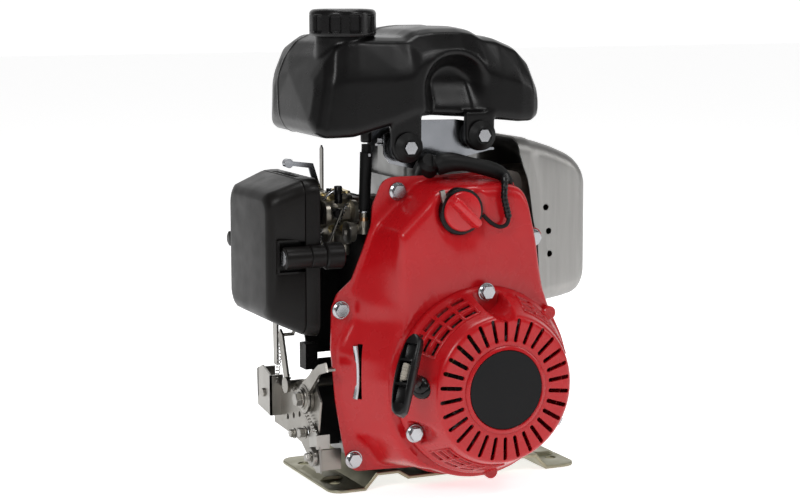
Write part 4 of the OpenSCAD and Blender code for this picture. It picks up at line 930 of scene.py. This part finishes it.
def make_cleaner_bosses():
    """Three front bosses, the long one at the back, and the collar round the bore."""
    bosses = [
        turned([(8.4, 0), (9.2, 0.8), (9.2, 21), (9.0, 22)], (-159, -61, 203), RIGHT, 48),
        turned([(8.8, 0), (9.4, 0.6), (9.4, 12.0), (9.0, 12.4)], (-136.4, -61, 203), RIGHT, 48),
        turned([(9.8, 0), (11.2, 1.2), (11.2, 14.4), (10.0, 15.6)], (-123.6, -61, 203), RIGHT, 48),
        turned([(5.0, 0), (6.4, 0.8), (6.8, 3), (8.2, 5), (8.2, 41)], (-164.5, 58, 205), RIGHT, 48),
    ]
    for number, shape in enumerate(bosses):
        put(f"cleaner_boss_{number}", shape, "black_plastic", crease=35)
    collar = turned([(14.6, -125), (15, -124), (15, -103), (14.6, -102)], PIPE, RIGHT, 64)
    collar = solid("cleaner_boss_4", collar)
    cut_away(collar, pipe_hole())
    place(sharpen(collar), "engine", "black_plastic")


# ---- Muffler guard ----

def guard_rim(z):
    """Where the guard's open side ends, which steps back towards the bottom."""
    heights = (147, 168, 204, 222, 257, 277, 296)
    depths = (84, 82, 79.5, 75, 70, 62, 60)
    return float(np.interp(z, heights, depths))


def densify(outline):
    """The same outline with extra points along its long sides."""
    out = []
    for (x0, y0), (x1, y1) in zip(outline, outline[1:] + outline[:1]):
        steps = 12 if math.hypot(x1 - x0, y1 - y0) > 8 else 1
        out += [(x0 + (x1 - x0) * k / steps, y0 + (y1 - y0) * k / steps) for k in range(steps)]
    return out


def close_end(obj, count):
    """A face over the sheet's last ring, which has count points."""
    work = bmesh.new()
    work.from_mesh(obj.data)
    last = [v for v in work.verts if v.index >= len(work.verts) - count]
    bmesh.ops.contextual_create(work, geom=last)
    work.to_mesh(obj.data)
    work.free()


def make_guard():
    low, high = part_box("muffler_guard")
    x1 = high.x / MM - 0.2
    y0, y1 = low.y / MM + 0.2, high.y / MM - 0.2
    # How far across from the open side to the end face, and how far the ring is drawn in there
    profile = [(0.0, 0.0), (0.12, 0.0), (0.17, 0.3), (0.20, 1.2), (0.30, 1.4), (0.5, 1.5), (0.68, 1.6),
               (0.74, 2.0), (0.80, 3.0), (0.86, 5.0), (0.91, 7.6), (0.95, 10.6), (0.98, 14), (0.995, 18),
               (1.0, 22)]
    rings = []
    for share, inset in profile:
        top = 294 - 26 * share ** 1.6
        bottom = 147 + 9 * share ** 2
        ring = rounded_rectangle(y0 + inset, y1 - inset, bottom + inset * 0.8, top - inset * 0.8,
                                 max(6.0, 15 - inset * 0.3), 10)
        rings.append([(guard_rim(z) + (x1 - guard_rim(z)) * share, y, z) for y, z in densify(ring)])
    obj = mesh_object("guard_shell", *loft(rings, caps=False))
    close_end(obj, len(rings[0]))
    turn_towards(obj, RIGHT)
    modified(obj, "SOLIDIFY", thickness=1.5 * MM, offset=-1)
    heat_holes = [rod(2.8, -62, -48, (x, 0, z), BACK, 32)
                  for x, z in ((88, 232), (91, 211), (92, 191))]
    cut_away(obj, joined(*heat_holes), rod(12.5, 48, 62, (104, 0, 190), BACK, 48))
    place(sharpen(obj, 40), "engine", "guard_steel", "muffler_guard")


# ---- Small parts that only the look needs ----

def plate(outline, x0, x1):
    """A flat plate square to X from (y, z) points."""
    return loft([[(x, y, z) for y, z in outline] for x in (x0, x1)])


def plate_across(outline, y0, y1):
    """A flat plate square to Y from (x, z) points."""
    return loft([[(x, y, z) for x, z in outline] for y in (y0, y1)])


def hex_head(at, axis, radius, height):
    """A hexagonal head with a washer face and a chamfered top."""
    rim = radius * 1.3
    washer = turned([(radius * 1.25, 0), (rim, 0.5), (rim, 1.2), (radius, 1.4)], at, axis, 32)
    head = turned([(radius, 1.2), (radius, height - 0.6), (radius * 0.86, height)], at, axis, 6)
    return joined(washer, head)


def spring(start, end, radius, turns, wire=0.45):
    """A thin coil spring between two points."""
    return tube(coil_route(start, end, radius, turns, 8), wire, 5)


def make_shrouds():
    """The dark guide plates behind the carburettor, and the bright strip behind the fan cover's slot."""
    beside = [(-72, 96), (-72, 222), (-64, 238), (-52, 244), (36, 244), (48, 232), (48, 96)]
    put("side_shroud", plate(beside, -65, -63), "black_plastic", look="rubber")
    behind = [(-64, 100), (-64, 232), (-84, 232), (-100, 214), (-104, 150), (-96, 100)]
    put("rear_shroud", plate_across(behind, 46, 48), "black_plastic", look="rubber")
    low = [(-62, 22), (-62, 100), (-96, 100), (-104, 86), (-104, 40), (-92, 22)]
    put("lower_shroud", plate_across(low, 20, 22), "black_plastic", look="rubber")
    strip = smooth_route([(-102, -76, 84), (-100, -76, 96), (-100, -76, 112), (-102, -76, 129)], 5)
    put("shroud_strip", tube(strip, 2.6, 10), "bolt_steel")


def make_carburettor_details():
    """Screws, nuts, bosses and black parts on the carburettor."""
    screws = [hex_head(at, FRONT, 2.6, 3.2) for at in ((-93, -3, 217), (-82, -3, 217), (-93, -1, 244))]
    screws += [hex_head(at, LEFT, 2.8, 3.4) for at in ((-97, 6, 244), (-96, 14, 217))]
    put("carburettor_screws", joined(*screws), "yellow_zinc", crease=30)
    nuts = [hex_head(at, UP, 2.6, 4) for at in ((-93, 2, 247.5), (-80, 16, 247.5))]
    put("carburettor_nuts", joined(*nuts), "bolt_steel", crease=30)
    body = [block((-95, -13, 226), (-80, -2, 236)), block((-91, -17, 205), (-80, -3, 213)),
            turned([(4.6, 0), (5.2, 0.6), (5.2, 6), (4, 7)], (-88, -2, 231), FRONT, 32),
            turned([(3.4, 0), (3.8, 0.6), (3.8, 9), (3, 10)], (-84, -12, 205), (0, 0, -1), 32),
            turned([(6.5, 0), (7.5, 1), (7.5, 10), (6.5, 12)], (-88, -6, 205), (0, 0, -1), 40)]
    put("carburettor_bosses", joined(*body), "carb_alloy")
    dark = [turned([(3.6, 0), (4.2, 0.6), (4.2, 8), (3.4, 9)], (-94, -14, 232), FRONT, 28),
            turned([(3.0, 0), (3.4, 0.5), (3.4, 14), (2.6, 15)], (-91, -14, 240), UP, 24),
            block((-98, -12, 192), (-90, -4, 204)), tube([(-95, -14, 204), (-95, -14, 186)], 1.6, 10)]
    put("carburettor_black_parts", joined(*dark), "black_trim")


def make_hose_details():
    """The fuel hose's fitting, its two clips and its thicker middle."""
    fitting = [turned([(4.3, 0), (4.6, 0.4), (4.6, 5.6), (4.3, 6)], (-74, -30, 220), UP, 6),
               rod(3.2, 0, 3, (-74, -30, 226), UP, 24)]
    put("hose_fitting", joined(*fitting), "yellow_zinc", look="brass", crease=30)
    rings = [turned([(4.2, 0), (5.0, 0.2), (5.0, 1.6), (4.2, 1.8)], at, UP, 32)
             for at in ((-74, -30, 233), (-72.2, -30, 281))]
    ears = [block((-75, -37, 233), (-73, -34, 235.4)), block((-73, -37, 281), (-71, -34, 283.4))]
    put("hose_clips", joined(*rings, *ears), "bolt_steel")
    hose = smooth_route([(-72, -30, 284), (-72.4, -30, 276), (-73.2, -30, 256), (-74, -30, 236)], 6)
    put("hose_sleeve", tapered(hose, [5.4, 5.2, 5.0, 5.0], 20), "rubber")


def make_linkage_details():
    """The disc, strap, springs and wires beside the carburettor."""
    disc = turned([(8.6, 0), (9.2, 0.5), (9.2, 1.6), (8.0, 2.2), (3.4, 2.4), (3.0, 4.4), (0, 4.6)],
                  (-89, -30, 217), LEFT, 40)
    put("diaphragm_disc", disc, "lever_steel")
    strap = plate([(27, 236), (33, 236), (33, 283), (30, 286), (27, 283)], -89, -87.6)
    put("carburettor_strap", strap, "lever_steel")
    springs = [spring((-97, -16, 214), (-84, -16, 240), 1.7, 11),
               spring((-100, 4, 206), (-100, 4, 228), 2.0, 9, 0.5)]
    put("carburettor_springs", joined(*springs), "bolt_steel", crease=60)
    rods = [tube(smooth_route([(-101, 3, 228), (-100, 0, 240), (-92, -4, 249), (-84, -6, 250)], 5), 0.9, 8),
            tube([(-100, 4, 206), (-103, 8, 172), (-110, 14, 134)], 0.9, 8)]
    put("governor_wires", joined(*rods), "bolt_steel", crease=60)


def make_tank_seats():
    """Rubber seats round the tank's front fixings."""
    seats = [turned([(12.4, 0), (12.6, 1.0), (11.2, 2.4), (8.4, 4.0), (7.4, 5.4), (6.2, 5.6), (6.2, 3.0)],
                    (x, -65.6, z), FRONT, 48) for x, z, side, top in TANK_LUGS if side < 0]
    put("tank_seats", joined(*seats), "rubber")


def tapered(route, radii, sides=16):
    """A round tube whose radius changes along its route."""
    points, faces = tube(route, 1, sides)
    route = [Vector(p) for p in route]
    out = []
    for i, p in enumerate(points):
        middle = route[min(i // sides, len(route) - 1)]
        share = (i // sides) / (len(route) - 1)
        radius = float(np.interp(share, np.linspace(0, 1, len(radii)), radii))
        out.append(tuple(middle + (Vector(p) - middle) * radius))
    return out, faces


def make_lead_boots():
    """The thick rubber boot on the ignition lead and the ribbed sleeve on the switch's lead."""
    route = smooth_route([(-26, -70, 274), (-18, -72, 277), (-6, -75, 276.5), (6, -79, 274), (18, -82, 271),
                          (29, -84, 266), (35, -85, 258)], 5)
    put("ignition_boot", tapered(route, [8.4, 9.2, 8.2, 6.6, 6.2, 6.8, 6.6, 5.2, 4.6]), "rubber")
    route = smooth_route([(29, -91.5, 262), (25, -96, 266), (20.5, -104, 264), (18, -109.5, 258),
                          (17, -111, 250), (19, -111.5, 241), (21, -111.5, 233)], 8)
    ribs = [3.2 if k % 2 else 2.4 for k in range(33)]
    put("switch_sleeve", tapered(route, ribs), "black_trim", crease=60)


def make_switch_surround():
    """The dark crescent below the switch, partly the black ring round the knob and partly a painted shadow of
    the knob, and the grey stop above it.
    """
    around = [(SWITCH[0] + 18.2 * math.cos(a), COVER_FRONT - 0.6, SWITCH[1] + 18.2 * math.sin(a))
              for a in np.linspace(math.radians(165), math.radians(312), 30)]
    # Black crescent on the knob's lower side only: partly the real dark ring, partly a painted shadow cast by
    # the knob.
    put("switch_ring_and_painted_shadow", tapered(around, [0.5, 1.6, 2.0, 2.0, 1.6, 0.5], 10), "black_trim")
    stop = moved(block((-2.0, -1.6, -8), (2.0, 1.6, 8)),
                 Matrix.Translation((SWITCH[0] - 16, COVER_FRONT - 1, SWITCH[1] + 10))
                 @ Matrix.Rotation(math.radians(-14), 4, "Y"))
    put("switch_stop", stop, "lever_steel")


def make_guide_nose():
    """The black ball in the rope guide's mouth."""
    ball = turned([(7.8 * math.sin(a) + 0.01, -7.8 * math.cos(a)) for a in np.linspace(0, math.pi, 14)],
                  tuple(GUIDE + 3 * PULL), tuple(PULL), 32)
    put("rope_guide_nose", ball, "black_trim", crease=60)


def make_control_details():
    """The speed lever's washers, and the bracket, adjuster, springs and black parts on the control plate."""
    blade = [(-52, 96), (-46, 92), (-20, 66), (-14, 70), (-30, 92), (-40, 104), (-52, 104)]
    pivot = [turned([(11.5, 0), (12.2, 0.5), (12.2, 1.8), (9.5, 2.4), (9.0, 3.6), (6.5, 4.2)],
                    (-127.6, -27, 77), LEFT, 48),
             hex_head((-131.6, -27, 77), LEFT, 6.2, 6), plate(blade, -126.6, -125.2)]
    put("control_washers", joined(*pivot), "lever_steel", body="speed_lever", crease=30)
    bracket = [plate([(40, 48), (72, 52), (74, 84), (60, 90), (40, 84)], -134, -132.4),
               block((-134, 40, 48), (-122, 42, 84)), block((-134, 70, 60), (-118, 72, 86)),
               plate([(44, 92), (52, 92), (54, 136), (50, 142), (44, 138)], -126, -124.2),
               turned([(3.4, 0), (3.8, 0.4), (3.8, 5), (3, 5.6)], (-136, 56, 66), RIGHT, 24)]
    put("control_bracket", joined(*bracket), "lever_steel")
    teeth = [turned([(7.6, 0), (8.2, 0.6), (8.2, 3.6), (7.6, 4.2)], (-126, -44, 30), LEFT, 14),
             hex_head((-130, -44, 30), LEFT, 3.6, 5),
             plate([(-56, 18), (-36, 20), (-30, 44), (-38, 58), (-52, 48)], -126, -124.6),
             hex_head((-126, -22, 46), LEFT, 4.2, 6), hex_head((-126, 2, 40), LEFT, 3.6, 5),
             block((-128, -53, 38), (-116, -51, 50))]
    put("control_adjuster", joined(*teeth), "lever_steel", crease=30)
    springs = [spring((-128, 30, 112), (-127, 46, 66), 1.8, 14),
               tube([(-127, 46, 66), (-127, 49, 58)], 0.7, 6),
               spring((-127, -46, 52), (-127, 18, 90), 1.6, 20)]
    put("control_springs", joined(*springs), "lever_steel", crease=60)
    dark = [block((-121, -12, 98), (-110, 2, 120)), block((-120, 20, 56), (-106, 34, 72))]
    put("control_black_parts", joined(*dark), "black_trim")


add_camera()
add_world()
add_lights()
add_floor()
looks = {slot: material(slot, colour, rough, **rest) for slot, (colour, rough, rest) in FINISHES.items()}
make_fan_cover()
make_starter_cover()
make_starter_ribs()
make_starter_details()
make_handle()
make_rope()
make_knob()
make_tank()
make_cap()
make_cleaner_cover()
make_cleaner_case()
make_cleaner_bosses()
make_guard()
make_shrouds()
make_carburettor_details()
make_hose_details()
make_linkage_details()
make_tank_seats()
make_lead_boots()
make_switch_surround()
make_guide_nose()
make_control_details()
dress_cad_nodes()
